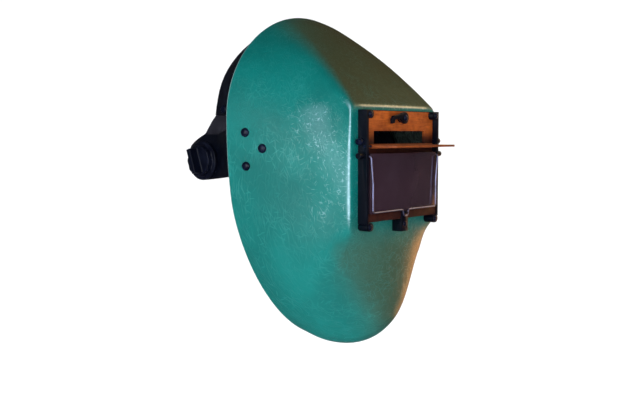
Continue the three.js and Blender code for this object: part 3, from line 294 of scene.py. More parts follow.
@dataclass(frozen=True)
class Strands:
    """Short chopped glass strands that lie every way along the shell's wall."""

    length: float = 30.0
    width: float = 3.0
    core: float = 0.080
    waver: float = 3.0
    waver_size: float = 22.0
    spread: float = 0.15
    turns: tuple[float, ...] = (4, 27, 52, 71, 96, 118, 143, 165)

    def mask(self, shader: Shader, scale: float = 1.0, offset: float = 0.0) -> Val:
        """1 on a strand and 0 between; offset turns a second lay by degrees."""
        lay = shader.node("ShaderNodeUVMap", {"uv_map": "lay"}).outputs[0]
        place = shader.scaled(lay, 1 / MM)
        drift = shader.node(
            "ShaderNodeTexNoise",
            {"noise_dimensions": "2D"},
            {"Vector": place, "Scale": 1 / self.waver_size, "Detail": 1.0},
        ).outputs["Color"]
        push = shader.scaled(drift, self.waver)
        bent = shader.node("ShaderNodeVectorMath", {"operation": "ADD"}, {0: place, 1: push}).outputs[0]
        layers = []
        for index, turn in enumerate(self.turns):
            long = self.length * scale * (1 + self.spread * (index % 3))
            cells = shader.stretched(bent, (long, self.width * scale, 1.0), (0, 0, turn + offset))
            node = shader.node(
                "ShaderNodeTexVoronoi",
                {"feature": "F1", "voronoi_dimensions": "2D"},
                {"Vector": cells, "Scale": 1.0, "Randomness": 1.0},
            )
            layers.append(Val(shader, node.outputs["Distance"]).ramp(self.core * 1.5, self.core * 0.55))
        return functools.reduce(Val.most, layers)


@dataclass(frozen=True)
class GelCoat(Look):
    """Glossy green gel coat with glass strands just under it, with painted warm light on the faces
    towards the warm lamps and painted highlights along the creases.
    """

    name: str = "gel_coat"
    deep: Colour = (0.001, 0.118, 0.106)
    pale: Colour = (0.002, 0.176, 0.158)
    # The next two colours are painted warm light: the olive tint of the faces towards the warm lamps.
    aged: Colour = (0.072, 0.055, 0.010)
    aged_pale: Colour = (0.066, 0.066, 0.022)
    strand: Colour = (0.035, 0.290, 0.265)
    # The next two colours are painted highlights: pale glints along the creases, cool on the sides and
    # cream on the top crease.
    bright: Colour = (0.42, 0.66, 0.74)
    cream: Colour = (0.66, 0.58, 0.36)
    strands: Strands = Strands()

    def sockets(self, shader: Shader, place: Socket) -> dict[str, Any]:
        """The values of the surface's sockets."""
        aging, rubbed = shader.attribute("aging"), shader.attribute("rubbed")
        cloud = shader.noise(place, 60, 4, 0.55)
        speck = shader.noise(place, 2.6, 3, 0.6)
        fine = self.strands.mask(shader)
        long = self.strands.mask(shader, 2.1, 11.0)
        strands = fine.most(long * 0.5)
        patch = shader.noise(place, 34, 3, 0.6).ramp(0.40, 0.66)
        shown = strands * (patch * 0.75 + 0.25)
        base = shader.mix(cloud.ramp(0.3, 0.7) * 0.7 + speck * 0.3, self.deep, self.pale)
        # Painted warm light: an olive tint mixed in where the warm lamps fall.
        olive = shader.mix(speck.ramp(0.3, 0.7) * 0.5, self.aged, self.aged_pale)
        base = shader.mix(aging, base, olive)
        base = shader.mix(shown * (0.40 - aging * 0.28), base, self.strand)
        # Painted highlight and sheen: pale glints along the creases and on the strands beside them.
        fleck = shader.noise(place, 3.4, 3, 0.6).ramp(0.44, 0.66)
        painted_highlight_colour = shader.mix(aging.ramp(0.1, 0.5), self.bright, self.cream)
        base = shader.mix(rubbed.ramp(0.30, 0.80) * (speck * 0.16 + 0.12), base, painted_highlight_colour)
        base = shader.mix(fine * fleck * rubbed.ramp(0.05, 0.85) * 0.80, base, painted_highlight_colour)
        base = shader.mix(rubbed.ramp(0.60, 0.95) * (fleck * 0.40 + 0.60), base, painted_highlight_colour)
        peel = shader.noise(place, 8, 2, 0.5)
        relief = shader.bump(peel, 0.30)
        relief = shader.bump(strands * 0.7 + speck * 0.3, 0.16, relief)
        return dict(
            Base_Color=base,
            Roughness=0.38 + speck * 0.14 - shown * 0.14,
            Normal=relief,
            Coat_Weight=shown * (rubbed * 0.5 + 0.15),
            Coat_Roughness=0.16,
            Specular_IOR_Level=0.20,
        )


@dataclass(frozen=True)
class BareMat(Look):
    """The shell's rough inside: resin over glass mat, with no gel coat."""

    name: str = "bare_mat"
    deep: Colour = (0.002, 0.013, 0.011)
    pale: Colour = (0.009, 0.027, 0.023)
    strand: Colour = (0.08, 0.13, 0.11)
    strands: Strands = Strands(length=38.0, width=3.8, core=0.17)

    def sockets(self, shader: Shader, place: Socket) -> dict[str, Any]:
        """The values of the surface's sockets."""
        strands = self.strands.mask(shader)
        cloud = shader.noise(place, 22, 4, 0.6)
        base = shader.mix(cloud.ramp(0.3, 0.7), self.deep, self.pale)
        base = shader.mix(strands * 0.3, base, self.strand)
        relief = shader.bump(strands * 0.7 + cloud * 0.6, 0.5)
        return dict(Base_Color=base, Roughness=0.62 - strands * 0.15, Normal=relief)


@dataclass(frozen=True)
class CutEdge(Look):
    """The trimmed rim, where the pale glass and resin show."""

    name: str = "cut_edge"
    deep: Colour = (0.10, 0.26, 0.26)
    pale: Colour = (0.30, 0.46, 0.46)

    def sockets(self, shader: Shader, place: Socket) -> dict[str, Any]:
        """The values of the surface's sockets."""
        layers = shader.noise(shader.stretched(place, (4, 0.7, 4)), 1, 3, 0.6)
        base = shader.mix(layers.ramp(0.35, 0.65), self.deep, self.pale)
        return dict(Base_Color=base, Roughness=0.6 + layers * 0.2, Normal=shader.bump(layers, 0.25))


@dataclass(frozen=True)
class MouldedPlastic(Look):
    """Black moulded plastic with a fine grain, rubbed a little grey by handling."""

    tint: Colour = (0.0010, 0.0018, 0.0060)
    # On the black plastics this colour is real wear: smears that handling rubs grey.
    rubbed: Colour = (0.0060, 0.0090, 0.0220)
    rubbing: float = 0.4
    roughness: float = 0.34
    grain: float = 0.05

    def sockets(self, shader: Shader, place: Socket) -> dict[str, Any]:
        """The values of the surface's sockets."""
        grain = shader.noise(place, 0.9, 2, 0.6)
        smear = shader.noise(shader.stretched(place, (9, 9, 16), (20, 35, 0)), 1, 4, 0.6).ramp(0.45, 0.8)
        scratched = shader.stretched(place, (14, 0.5, 0.5), (25, 40, 15))
        scratch = shader.noise(scratched, 1, 2, 0.5).ramp(0.66, 0.8)
        base = shader.mix(smear * self.rubbing + scratch * 0.3, self.tint, self.rubbed)
        relief = shader.bump(grain, self.grain)
        relief = shader.bump(shader.noise(place, 14, 2, 0.5), 0.25, relief)
        return dict(
            Base_Color=base,
            Roughness=self.roughness + smear * 0.18 + grain * 0.08,
            Normal=relief,
            Specular_IOR_Level=0.18,
        )


@dataclass(frozen=True)
class PressedLaminate(Look):
    """Brown pressed laminate, mottled, and darker towards its lower end."""

    light: Colour = (0.56, 0.125, 0.018)
    dark: Colour = (0.250, 0.050, 0.010)
    smoked: Colour = (0.014, 0.0020, 0.0034)
    fade_from: float = 13.0
    fade_to: float = -3.0

    def sockets(self, shader: Shader, place: Socket) -> dict[str, Any]:
        """The values of the surface's sockets."""
        mottle = shader.noise(place, 7, 5, 0.62)
        paper = shader.noise(shader.stretched(place, (14, 14, 1.1)), 1, 3, 0.6)
        low = shader.along((0, 0, 1), place).ramp(self.fade_from, self.fade_to)
        streaks = mottle.ramp(0.32, 0.68) * 0.5 + paper.ramp(0.35, 0.65) * 0.45
        base = shader.mix(streaks, self.light, self.dark)
        base = shader.mix(low * (mottle * 0.08 + 0.92), base, self.smoked)
        relief = shader.bump(paper * 0.5 + mottle * 0.5, 0.08)
        return dict(
            Base_Color=base, Roughness=0.42 + mottle * 0.2, Normal=relief, Specular_IOR_Level=0.2
        )


@dataclass(frozen=True)
class FilterGlass(Look):
    """Nearly black filter glass with a purple-brown cast."""

    name: str = "filter_glass"
    tint: Colour = (0.030, 0.0150, 0.0230)
    haze: Colour = (0.040, 0.023, 0.034)

    def sockets(self, shader: Shader, place: Socket) -> dict[str, Any]:
        """The values of the surface's sockets."""
        haze = shader.noise(place, 26, 4, 0.6).ramp(0.35, 0.8)
        dust = shader.noise(place, 1.6, 2, 0.7).ramp(0.62, 0.8)
        base = shader.mix(haze * 0.6 + dust * 0.25, self.tint, self.haze)
        return dict(
            Base_Color=base,
            Roughness=0.07 + haze * 0.10 + dust * 0.15,
            IOR=1.52,
            Specular_IOR_Level=0.3,
        )


@dataclass(frozen=True)
class PlatedWire(Look):
    """Bright plated steel, drawn along its length and a little dulled."""

    bright: Colour = (0.26, 0.27, 0.46)
    dull: Colour = (0.20, 0.11, 0.09)
    roughness: float = 0.36

    def sockets(self, shader: Shader, place: Socket) -> dict[str, Any]:
        """The values of the surface's sockets."""
        stain = shader.noise(place, 5, 4, 0.65).ramp(0.48, 0.78)
        base = shader.mix(stain * 0.7, self.bright, self.dull)
        relief = shader.bump(shader.noise(place, 0.8, 2, 0.5), 0.03)
        return dict(
            Base_Color=base,
            Metallic=1.0 - stain * 0.15,
            Roughness=self.roughness + stain * 0.25,
            Normal=relief,
        )


@dataclass(frozen=True)
class PaleFloor(Look):
    """Plain pale studio paper."""

    name: str = "studio_paper"
    tint: Colour = (0.86, 0.86, 0.87)
    grey: Colour = (0.80, 0.80, 0.81)

    def sockets(self, shader: Shader, place: Socket) -> dict[str, Any]:
        """The values of the surface's sockets."""
        grain = shader.noise(place, 300, 2, 0.5)
        base = shader.mix(grain * 0.1, self.tint, self.grey)
        return dict(Base_Color=base, Roughness=0.9)


class Finish(Enum):
    """The finishes that the pieces choose from, with the record's slot for each."""

    GEL_COAT = (GelCoat(), "glass_fibre")
    BARE_MAT = (BareMat(), "glass_fibre")
    CUT_EDGE = (CutEdge(), "glass_fibre")
    BLACK_FRAME = (MouldedPlastic("black_frame", rubbing=0.35), "black_plastic")
    BLACK_HARNESS = (
        MouldedPlastic("black_harness", (0.0025, 0.0030, 0.0070), (0.012, 0.013, 0.024), 0.6, 0.36),
        "black_plastic",
    )
    # A lighter copy of the black harness plastic: painted light on the ear plates' faces that the light
    # from above reaches.
    GREY_HARNESS = (
        MouldedPlastic("harness_painted_lit", (0.016, 0.015, 0.022), (0.034, 0.032, 0.045), 0.7, 0.42),
        "black_plastic",
    )
    BLACK_KNOB = (
        MouldedPlastic("black_knob", (0.0020, 0.0028, 0.0085), (0.010, 0.013, 0.030), 0.5, 0.28, 0.04),
        "black_plastic",
    )
    BLACK_METAL = (
        MouldedPlastic("black_metal", (0.0016, 0.0032, 0.0130), (0.012, 0.020, 0.060), 0.5, 0.24, 0.03),
        "black_plastic",
    )
    BOARD = (PressedLaminate("board_laminate"), "brown_laminate")
    FLAP = (PressedLaminate("flap_laminate", fade_from=60, fade_to=-60), "brown_laminate")
    GLASS = (FilterGlass(), "dark_glass")
    WIRE = (PlatedWire("plated_wire"), "bright_wire")

    def material(self) -> Material:
        """The one material of this finish, made when it is first asked for."""
        finish, _ = self.value
        return bpy.data.materials.get(finish.name) or finish.make()

    @property
    def slot(self) -> str:
        """The record's material slot."""
        return self.value[1]


# Mesh making


def placed(name: str, mesh: bpy.types.Mesh) -> Object:
    """Puts a mesh into the scene as an object at the origin."""
    made = bpy.data.objects.new(name, mesh)
    bpy.context.scene.collection.objects.link(made)
    return made


def mesh_object(
    name: str,
    vertices: Iterable[Sequence[float]],
    faces: Iterable[Sequence[int]] = (),
    edges: Iterable[Sequence[int]] = (),
) -> Object:
    """Makes an object at the origin from points in millimetres, with faces or bare edges."""
    mesh = bpy.data.meshes.new(name)
    corners = [list(face) for face in faces]
    mesh.from_pydata([tuple(c * MM for c in v) for v in vertices], list(edges), corners)
    return placed(name, mesh)


def evaluated(source: Object, name: str) -> Object:
    """Turns an object and its modifiers into a plain mesh object, and removes the source."""
    bpy.context.view_layer.update()
    graph = bpy.context.evaluated_depsgraph_get()
    mesh = bpy.data.meshes.new_from_object(
        source.evaluated_get(graph), preserve_all_data_layers=True, depsgraph=graph
    )
    bpy.data.objects.remove(source)
    mesh.name = name
    return placed(name, mesh)


def repaint(node: str, finish: Finish) -> None:
    """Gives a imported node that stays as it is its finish."""
    materials = frame["nodes"][node].data.materials
    materials.clear()
    materials.append(finish.material())


def dress(piece: Object, finish: Finish, body: str, *replaced: str) -> Object:
    """Gives a piece its finish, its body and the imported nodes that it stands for."""
    if not piece.data.materials:
        piece.data.materials.append(finish.material())
    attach(piece, body)
    finish.slot
    if replaced:
        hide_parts(*replaced)
    LOG.info("%s rides on %s, %d faces", piece.name, body, len(piece.data.polygons))
    return piece


def smooth_by_angle(mesh: bpy.types.Mesh, degrees: float) -> None:
    """Shades a mesh smooth but for edges sharper than an angle in degrees."""
    work = bmesh.new()
    work.from_mesh(mesh)
    limit = math.radians(degrees)
    for face in work.faces:
        face.smooth = True
    for edge in work.edges:
        edge.smooth = len(edge.link_faces) == 2 and edge.calc_face_angle(0.0) < limit
    work.to_mesh(mesh)
    work.free()


@dataclass(frozen=True)
class Moulding:
    """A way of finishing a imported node's own shape."""

    flat_angle: ClassVar[float | None] = None
    shading_angle: ClassVar[float] = 60.0

    def modify(self, source: Object) -> None:
        """Adds the modifiers that change the shape."""
        raise NotImplementedError

    def dress(self, node: str, name: str, finish: Finish, body: str) -> Object:
        """Makes the piece that stands for a node, with its finish and the body that it rides on."""
        work = bmesh.new()
        work.from_mesh(frame["nodes"][node].data)
        bmesh.ops.remove_doubles(work, verts=work.verts, dist=MERGE_DISTANCE)
        if self.flat_angle is not None:
            limit = math.radians(self.flat_angle)
            bmesh.ops.dissolve_limit(work, angle_limit=limit, verts=work.verts, edges=work.edges)
        mesh = bpy.data.meshes.new(name)
        work.to_mesh(mesh)
        work.free()
        source = placed(name + "_source", mesh)
        self.modify(source)
        made = evaluated(source, name)
        smooth_by_angle(made.data, self.shading_angle)
        return dress(made, finish, body, node)


@dataclass(frozen=True)
class EdgeRounding(Moulding):
    """Moulded or worn edges."""

    width: float = 0.5
    segments: int = 2
    angle: float = 28.0
    flat_angle: ClassVar[float | None] = 1.5
    shading_angle: ClassVar[float] = 32.0

    def modify(self, source: Object) -> None:
        """Bevels the sharp edges."""
        bevel = source.modifiers.new("edges", "BEVEL")
        bevel.width = self.width * MM
        bevel.segments = self.segments
        bevel.limit_method = "ANGLE"
        bevel.angle_limit = math.radians(self.angle)
        bevel.use_clamp_overlap = True
        bevel.harden_normals = False


@dataclass(frozen=True)
class SoftMoulding(Moulding):
    """Joins that flow into each other, as on a small casting."""

    voxel: float = 0.5
    passes: int = 4

    def modify(self, source: Object) -> None:
        """Remeshes the shape finely and smooths it."""
        remesh = source.modifiers.new("remesh", "REMESH")
        remesh.mode = "VOXEL"
        remesh.voxel_size = self.voxel * MM
        soften = source.modifiers.new("soften", "SMOOTH")
        soften.factor = 0.5
        soften.iterations = self.passes


# Geometry Nodes


class ShapeTree(NodeTree):
    """A Geometry Nodes tree built from named inputs, whose result becomes a plain mesh."""

    def __init__(self, name: str) -> None:
        """Makes an empty tree."""
        self.tree = bpy.data.node_groups.new(name, "GeometryNodeTree")
        self.tree.interface.new_socket("Geometry", in_out="INPUT", socket_type="NodeSocketGeometry")
        self.tree.interface.new_socket("Geometry", in_out="OUTPUT", socket_type="NodeSocketGeometry")
        self.source = self.tree.nodes.new("NodeGroupInput")
        self.target = self.tree.nodes.new("NodeGroupOutput")
        self.identifiers: dict[str, str] = {}

    def size(self, name: str, default: float) -> Socket:
        """Adds a named size, in metres, and gives the socket that carries it."""
        item = self.tree.interface.new_socket(name, in_out="INPUT", socket_type="NodeSocketFloat")
        item.default_value = default
        self.identifiers[name] = item.identifier
        return self.source.outputs[name]

    def shape(
        self, kind: str, settings: dict[str, Any] | None = None, **inputs: Any
    ) -> Socket:
        """Adds a geometry node, its inputs by name with _ for a space, and gives its output."""
        named = {name.replace("_", " "): value for name, value in inputs.items()}
        return self.node("GeometryNode" + kind, settings, named).outputs[0]

    def raised(self, geometry: Socket, height: Any) -> Socket:
        """Geometry moved up by a size."""
        return self.shape("Transform", Geometry=geometry, Translation=self.vector(0.0, 0.0, height))

    def times(self, first: Any, second: Any) -> Socket:
        """The product of two sizes."""
        return self.node("ShaderNodeMath", {"operation": "MULTIPLY"}, {0: first, 1: second}).outputs[0]

    def vector(self, x: Any, y: Any, z: Any) -> Socket:
        """A vector from three sizes."""
        return self.node("ShaderNodeCombineXYZ", {}, {0: x, 1: y, 2: z}).outputs[0]

    def close(self, geometry: Socket, material: Material) -> None:
        """Realizes the instances, sets the material and ends the tree."""
        real = self.shape("RealizeInstances", Geometry=geometry)
        dressed = self.shape("SetMaterial", Geometry=real, Material=material)
        self.tree.links.new(dressed, self.target.inputs[0])

    def make(self, source: Object, name: str, sizes: dict[str, float]) -> Object:
        """Runs the tree on an object, with sizes in millimetres, and keeps a plain mesh."""
        modifier = source.modifiers.new(self.tree.name, "NODES")
        modifier.node_group = self.tree
        for key, value in sizes.items():
            modifier[self.identifiers[key]] = value * MM
        return evaluated(source, name)


@dataclass
class Fastener:
    """Where one fastener sits: the seat of its head and the way that the head faces."""

    node: str
    seat: Vector
    facing: Vector


@dataclass
class DomedFasteners:
    """Round domed heads on plain shanks, with or without a driver slot."""

    name: str
    finish: Finish
    head_radius: float
    head_height: float
    shank_radius: float
    shank_length: float
    tail_radius: float
    tail_height: float
    slot_width: float = 0.0
    slot_depth: float = 0.0

    SHADING_ANGLE: ClassVar[float] = 35

    def sizes(self) -> dict[str, float]:
        """The sizes by the names that the tree gives them, in millimetres."""
        return {
            item.name.replace("_", " ").title(): getattr(self, item.name)
            for item in fields(self)
            if item.name not in ("name", "finish")
        }

    def tree(self) -> ShapeTree:
        """Builds the tree that puts a fastener on each point."""
        tree = ShapeTree(self.name)
        size = {name: tree.size(name, value * MM) for name, value in self.sizes().items()}
        head_radius, head_height = size["Head Radius"], size["Head Height"]
        ball = tree.shape("MeshUVSphere", Segments=28, Rings=14, Radius=1.0)
        round_size = tree.vector(head_radius, head_radius, head_height)
        dome = tree.shape("Transform", Geometry=ball, Scale=round_size)
        wide = tree.times(head_radius, 3.0)
        under = tree.shape("MeshCube", Size=tree.vector(wide, wide, head_height))
        cutters = [tree.raised(under, tree.times(head_height, -0.5))]
        if self.slot_depth > 0:
            deep = tree.times(size["Slot Depth"], 2.0)
            groove = tree.shape("MeshCube", Size=tree.vector(wide, size["Slot Width"], deep))
            cutters.append(tree.raised(groove, head_height))
        cut = tree.shape("MeshBoolean", {"operation": "DIFFERENCE"}, Mesh_1=dome, Mesh_2=cutters)
        shank_length, tail_height = size["Shank Length"], size["Tail Height"]
        shank = tree.shape("MeshCylinder", Vertices=20, Radius=size["Shank Radius"], Depth=shank_length)
        tail = tree.shape("MeshCylinder", Vertices=24, Radius=size["Tail Radius"], Depth=tail_height)
        tail_drop = tree.node(
            "ShaderNodeMath",
            {"operation": "ADD"},
            {0: tree.times(shank_length, -1.0), 1: tree.times(tail_height, -0.48)},
        ).outputs[0]
        parts = [cut, tree.raised(shank, tree.times(shank_length, -0.499)), tree.raised(tail, tail_drop)]
        whole = tree.shape("MeshBoolean", {"operation": "UNION"}, Mesh_2=parts)
        facing = tree.shape("InputNamedAttribute", {"data_type": "FLOAT_VECTOR"}, Name="facing")
        turn = tree.node("FunctionNodeAlignRotationToVector", {"axis": "Z"}, {"Vector": facing})
        points = tree.source.outputs[0]
        tree.close(
            tree.shape("InstanceOnPoints", Points=points, Instance=whole, Rotation=turn.outputs[0]),
            self.finish.material(),
        )
        return tree

    def make(self, places: Sequence[Fastener], body: str) -> Object:
        """Makes one piece that holds a fastener at each place."""
        points = mesh_object(self.name + "_points", [place.seat for place in places])
        facing = points.data.attributes.new("facing", "FLOAT_VECTOR", "POINT")
        for index, place in enumerate(places):
            facing.data[index].vector = place.facing
        piece = self.tree().make(points, self.name, self.sizes())
        smooth_by_angle(piece.data, self.SHADING_ANGLE)
        return dress(piece, self.finish, body, *[place.node for place in places])


# The shell


def hermite(stations: np.ndarray, values: np.ndarray, at: np.ndarray) -> np.ndarray:
    """A smooth curve through a table's rows, read at given stations."""
    last = len(stations) - 1
    low = np.clip(np.searchsorted(stations, at, side="right") - 1, 0, last - 1)
    before = np.maximum(0, np.arange(last + 1) - 1)
    after = np.minimum(last, np.arange(last + 1) + 1)
    slopes = (values[after] - values[before]) / (stations[after] - stations[before])
    span = stations[low + 1] - stations[low]
    t = (at - stations[low]) / span
    return (
        values[low] * (1 + 2 * t) * (1 - t) ** 2
        + values[low + 1] * t * t * (3 - 2 * t)
        + span * slopes[low] * t * (1 - t) ** 2
        - span * slopes[low + 1] * t * t * (1 - t)
    )


def step_between(values: np.ndarray, low: float, high: float) -> np.ndarray:
    """A smooth step from 0 at low to 1 at high; low may be the larger."""
    t = np.clip((values - low) / (high - low), 0, 1)
    return t * t * (3 - 2 * t)


@dataclass(frozen=True)
class GelPaintedLight:
    """Where warm light is painted on the gel coat as an olive tint, and where highlights and sheen are
    painted along the creases.

    Each pair is the value at which a mark begins and the one at which it is full.
    """

    # brow, chin and left place the painted warm light; side_crease, near and top_crease place the painted
    # highlight and sheen.
    brow_way: Place = (0.34, -0.56, 0.76)
    brow_facing: tuple[float, float] = (0.60, 1.04)
    brow_z: tuple[float, float] = (10, 34)
    chin_way: Place = (0.34, -0.94, -0.04)
    chin_facing: tuple[float, float] = (0.30, 1.02)
    chin_z: tuple[float, float] = (-64, -112)
    chin_share: float = 0.62
    left_facing: tuple[float, float] = (0.05, 0.75)
    left_z: tuple[float, float] = (-60, -90)
    left_y: tuple[float, float] = (-70, -120)
    left_share: float = 0.38
    side_crease: tuple[float, float] = (0.66, 0.24)
    side_crease_y: tuple[float, float] = (-130, -142)
    near_facing: tuple[float, float] = (0.99, 0.84)
    near_turned: tuple[float, float] = (0.5, 0.75)
    near_y: tuple[float, float] = (-78, -140)
    near_share: float = 0.72
    side_low_z: tuple[float, float] = (-100, -62)
    side_high_z: tuple[float, float] = (48, 26)
    top_crease: tuple[float, float] = (0.40, 0.16)
    top_crease_y: tuple[float, float] = (-138, -148)
    top_crease_z: tuple[float, float] = (18, 26)
    top_crease_x: tuple[float, float] = (62, 53)

    def mark(self, mesh: bpy.types.Mesh) -> None:
        """Writes both marks on the mesh's points: the painted warm light and the painted highlight."""
        normals = np.array([tuple(vertex.normal) for vertex in mesh.vertices])
        x, y, z = np.array([tuple(vertex.co) for vertex in mesh.vertices]).T / MM
        sideways = np.abs(normals[:, 0])

        def ridge(values: np.ndarray, middle: float, spread: float) -> np.ndarray:
            """A bell round a middle value."""
            return np.exp(-(((values - middle) / spread) ** 2))

        # Painted warm light: an olive tint on the brow, the chin and the far side, where the warm lamps
        # fall.
        brow = step_between(normals @ np.array(self.brow_way), *self.brow_facing)
        brow = brow * step_between(z, *self.brow_z)
        chin = step_between(normals @ np.array(self.chin_way), *self.chin_facing)
        chin = chin * step_between(z, *self.chin_z)
        left = step_between(normals[:, 0], *self.left_facing) * step_between(z, *self.left_z)
        left = left * step_between(y, *self.left_y)
        aging = np.clip(np.maximum(brow, self.chin_share * chin + self.left_share * left), 0, 1)
        # Painted highlight: a line along each side crease, a sheen beside it and a line along the top
        # crease.
        crease = ridge(sideways, *self.side_crease) * step_between(y, *self.side_crease_y)
        near = self.near_share * step_between(sideways, *self.near_facing)
        near = near * step_between(sideways, *self.near_turned) * step_between(y, *self.near_y)
        tall = step_between(z, *self.side_low_z) * step_between(z, *self.side_high_z)
        top = ridge(normals[:, 2], *self.top_crease) * step_between(y, *self.top_crease_y)
        top = top * step_between(z, *self.top_crease_z) * step_between(np.abs(x), *self.top_crease_x)
        rubbed = np.maximum(np.clip(np.maximum(crease, near) * tall, 0, 1) * (1 - aging), top)
        for name, amount in (("aging", aging), ("rubbed", rubbed)):
            layer = mesh.attributes.new(name, "FLOAT", "POINT")
            layer.data.foreach_set("value", amount.astype(np.float32))


@dataclass
class FaceShell:
    """The one-piece moulded shell, from its flat window face back to its egg-shaped rim."""

    wall: float = 2.4
    rim_y: float = -45
    rim_half_width: float = 117
    rim_mid_z: float = 20
    rim_rise: float = 107
    rim_drop: float = 223
    rim_top_squareness: float = 2
    rim_chin_squareness: float = 2.2
    chin_sweep: float = 30
    chin_sweep_start: float = 0.36
    chin_sweep_power: float = 1.5
    face_y: float = -161
    face_half_width: float = 72
    face_top: float = 32
    face_bottom: float = -85
    face_corner: float = 9
    brow_angle: float = 65
    jaw_angle: float = -44
    side_angles: tuple[float, float] = (-12, 30)
    corner_spread: float = 8
    fillet: float = 4.2
    inner_fillet: float = 4.8
    fillet_steps: int = 6
    edge_bevel: float = 0.35
    rows: int = 64
    lay_width: float = 560
    shading_angle: float = 40
    view_half_width: float = 49
    view_bottom: float = -62.5
    view_top: float = 8.8
    sections: dict[str, tuple[float, ...]] = field(default_factory=lambda: {
        "at": (0.00, 0.15, 0.35, 0.55, 0.75, 0.90, 1.00),
        "brow_out": (0.00, 0.20, 0.44, 0.65, 0.83, 0.95, 1.00),
        "side_out": (0.00, 0.19, 0.42, 0.63, 0.81, 0.93, 1.00),
        "jaw_depth": (0.00, 0.10, 0.21, 0.38, 0.62, 0.83, 1.00),
        "jaw_out": (0.00, 0.17, 0.46, 0.74, 0.95, 1.00, 1.00),
        "chin_depth": (0.00, 0.02, 0.06, 0.19, 0.45, 0.75, 1.00),
        "chin_out": (0.00, 0.36, 0.72, 0.89, 1.02, 1.05, 1.00),
    })

    def column(self, name: str, at: np.ndarray) -> np.ndarray:
        """Reads a column of the section table."""
        return hermite(np.array(self.sections["at"]), np.array(self.sections[name]), at)

    def rim_points(self, angles: np.ndarray) -> np.ndarray:
        """Points of the rim, a row of x, y and z for each angle in degrees."""
        c, s = np.cos(np.radians(angles)), np.sin(np.radians(angles))
        power = np.where(s > 0, 2 / self.rim_top_squareness, 2 / self.rim_chin_squareness)
        rise = np.sign(s) * np.abs(s) ** power
        x = self.rim_half_width * np.sign(c) * np.abs(c) ** power
        z = self.rim_mid_z + rise * np.where(s > 0, self.rim_rise, self.rim_drop)
        fall = np.maximum(0, (-rise - self.chin_sweep_start) / (1 - self.chin_sweep_start))
        return np.stack([x, self.rim_y - self.chin_sweep * fall ** self.chin_sweep_power, z], axis=-1)

    def directions(self, corner_steps: int = 8, side_steps: int = 60, brow_steps: int = 44) -> np.ndarray:
        """The directions round the shell, a row of x, z and rim angle for each."""
        corners = [
            (1, 1, 0, self.brow_angle, brow_steps),
            (-1, 1, 90, 180 - self.brow_angle, side_steps),
            (-1, -1, 180, 180 - self.jaw_angle, brow_steps),
            (1, -1, 270, 360 + self.jaw_angle, side_steps),
        ]

        def centre(side: int, level: int) -> tuple[float, float]:
            """The centre of a corner's arc."""
            z = self.face_top - self.face_corner if level > 0 else self.face_bottom + self.face_corner
            return side * (self.face_half_width - self.face_corner), z

        found: list[tuple[float, float, float]] = []
        for index, (side, level, start, rim, steps) in enumerate(corners):
            x, z = centre(side, level)
            for step in range(corner_steps + 1):
                share = step / corner_steps
                angle = math.radians(start + 90 * share)
                found.append((
                    x + self.face_corner * math.cos(angle),
                    z + self.face_corner * math.sin(angle),
                    rim + self.corner_spread * (2 * share - 1),
                ))
            next_side, next_level, next_start, next_rim, _ = corners[(index + 1) % 4]
            lap = 360 if index == 3 else 0
            next_x, next_z = centre(next_side, next_level)
            angle = math.radians(next_start + lap)
            goal = (
                next_x + self.face_corner * math.cos(angle),
                next_z + self.face_corner * math.sin(angle),
                next_rim - self.corner_spread + lap,
            )
            origin = found[-1]
            for step in range(1, steps):
                share = step / steps
                found.append(tuple(origin[k] + (goal[k] - origin[k]) * share for k in range(3)))
        return np.array(found)

    def surface(self, directions: np.ndarray, at: np.ndarray) -> np.ndarray:
        """Outer points, by station (0 at the face, 1 at the rim), direction and axis."""
        outward = (self.column(name + "_out", at) for name in ("brow", "side", "jaw", "chin"))
        brow, side, jaw, chin = outward
        low_side, high_side = self.side_angles
        angles = np.array([-90, self.jaw_angle, low_side, high_side, self.brow_angle, 90], float)
        depths = np.array([self.column("chin_depth", at), self.column("jaw_depth", at), at, at, at, at])
        outs = np.array([chin, jaw, side, side, brow, brow])
        folded = np.degrees(np.arcsin(np.sin(np.radians(directions[:, 2]))))
        low = np.clip(np.searchsorted(angles, folded + ANGLE_SLACK, side="right") - 1, 0, len(angles) - 2)
        t = np.clip((folded - angles[low]) / (angles[low + 1] - angles[low]), 0, 1)
        t = (t * t * (3 - 2 * t))[:, None]
        depth = (depths[low] * (1 - t) + depths[low + 1] * t).T
        out = (outs[low] * (1 - t) + outs[low + 1] * t).T
        rim = self.rim_points(directions[:, 2])
        x = directions[:, 0] + (rim[:, 0] - directions[:, 0]) * out
        y = self.face_y + (rim[:, 1] - self.face_y) * depth
        z = directions[:, 1] + (rim[:, 2] - directions[:, 1]) * out
        return np.stack([x, y, z], axis=-1)

    def spot(self, y: float, z: float) -> tuple[Vector, Vector]:
        """The point of the left side at a given y and z, and its outward normal."""
        def direction(share: float) -> np.ndarray:
            """A direction down the side of the window face."""
            low = self.face_bottom + self.face_corner
            high = self.face_top - self.face_corner
            start = self.jaw_angle + self.corner_spread
            end = self.brow_angle - self.corner_spread
            return np.array([[
                self.face_half_width, low + (high - low) * share, start + (end - start) * share,
            ]])

        def point(share: float, at: float) -> Vector:
            """A point of the side."""
            return Vector(self.surface(direction(share), np.array([at]))[0, 0])

        def bisect(test: Callable[[float], bool]) -> float:
            """Where a test turns from true to false."""
            low, high = 0.0, 1.0
            for _ in range(24):
                middle = (low + high) / 2
                low, high = (middle, high) if test(middle) else (low, middle)
            return low

        def station(share: float) -> float:
            """The station at which a direction reaches y."""
            return bisect(lambda at: point(share, at).y < y)

        share = bisect(lambda value: point(value, station(value)).z < z)
        at = min(station(share), 0.99)
        here = point(share, at)
        up = point(share + 0.01, at) - here
        back = point(share, at + 0.01) - here
        return here, back.cross(up).normalized()

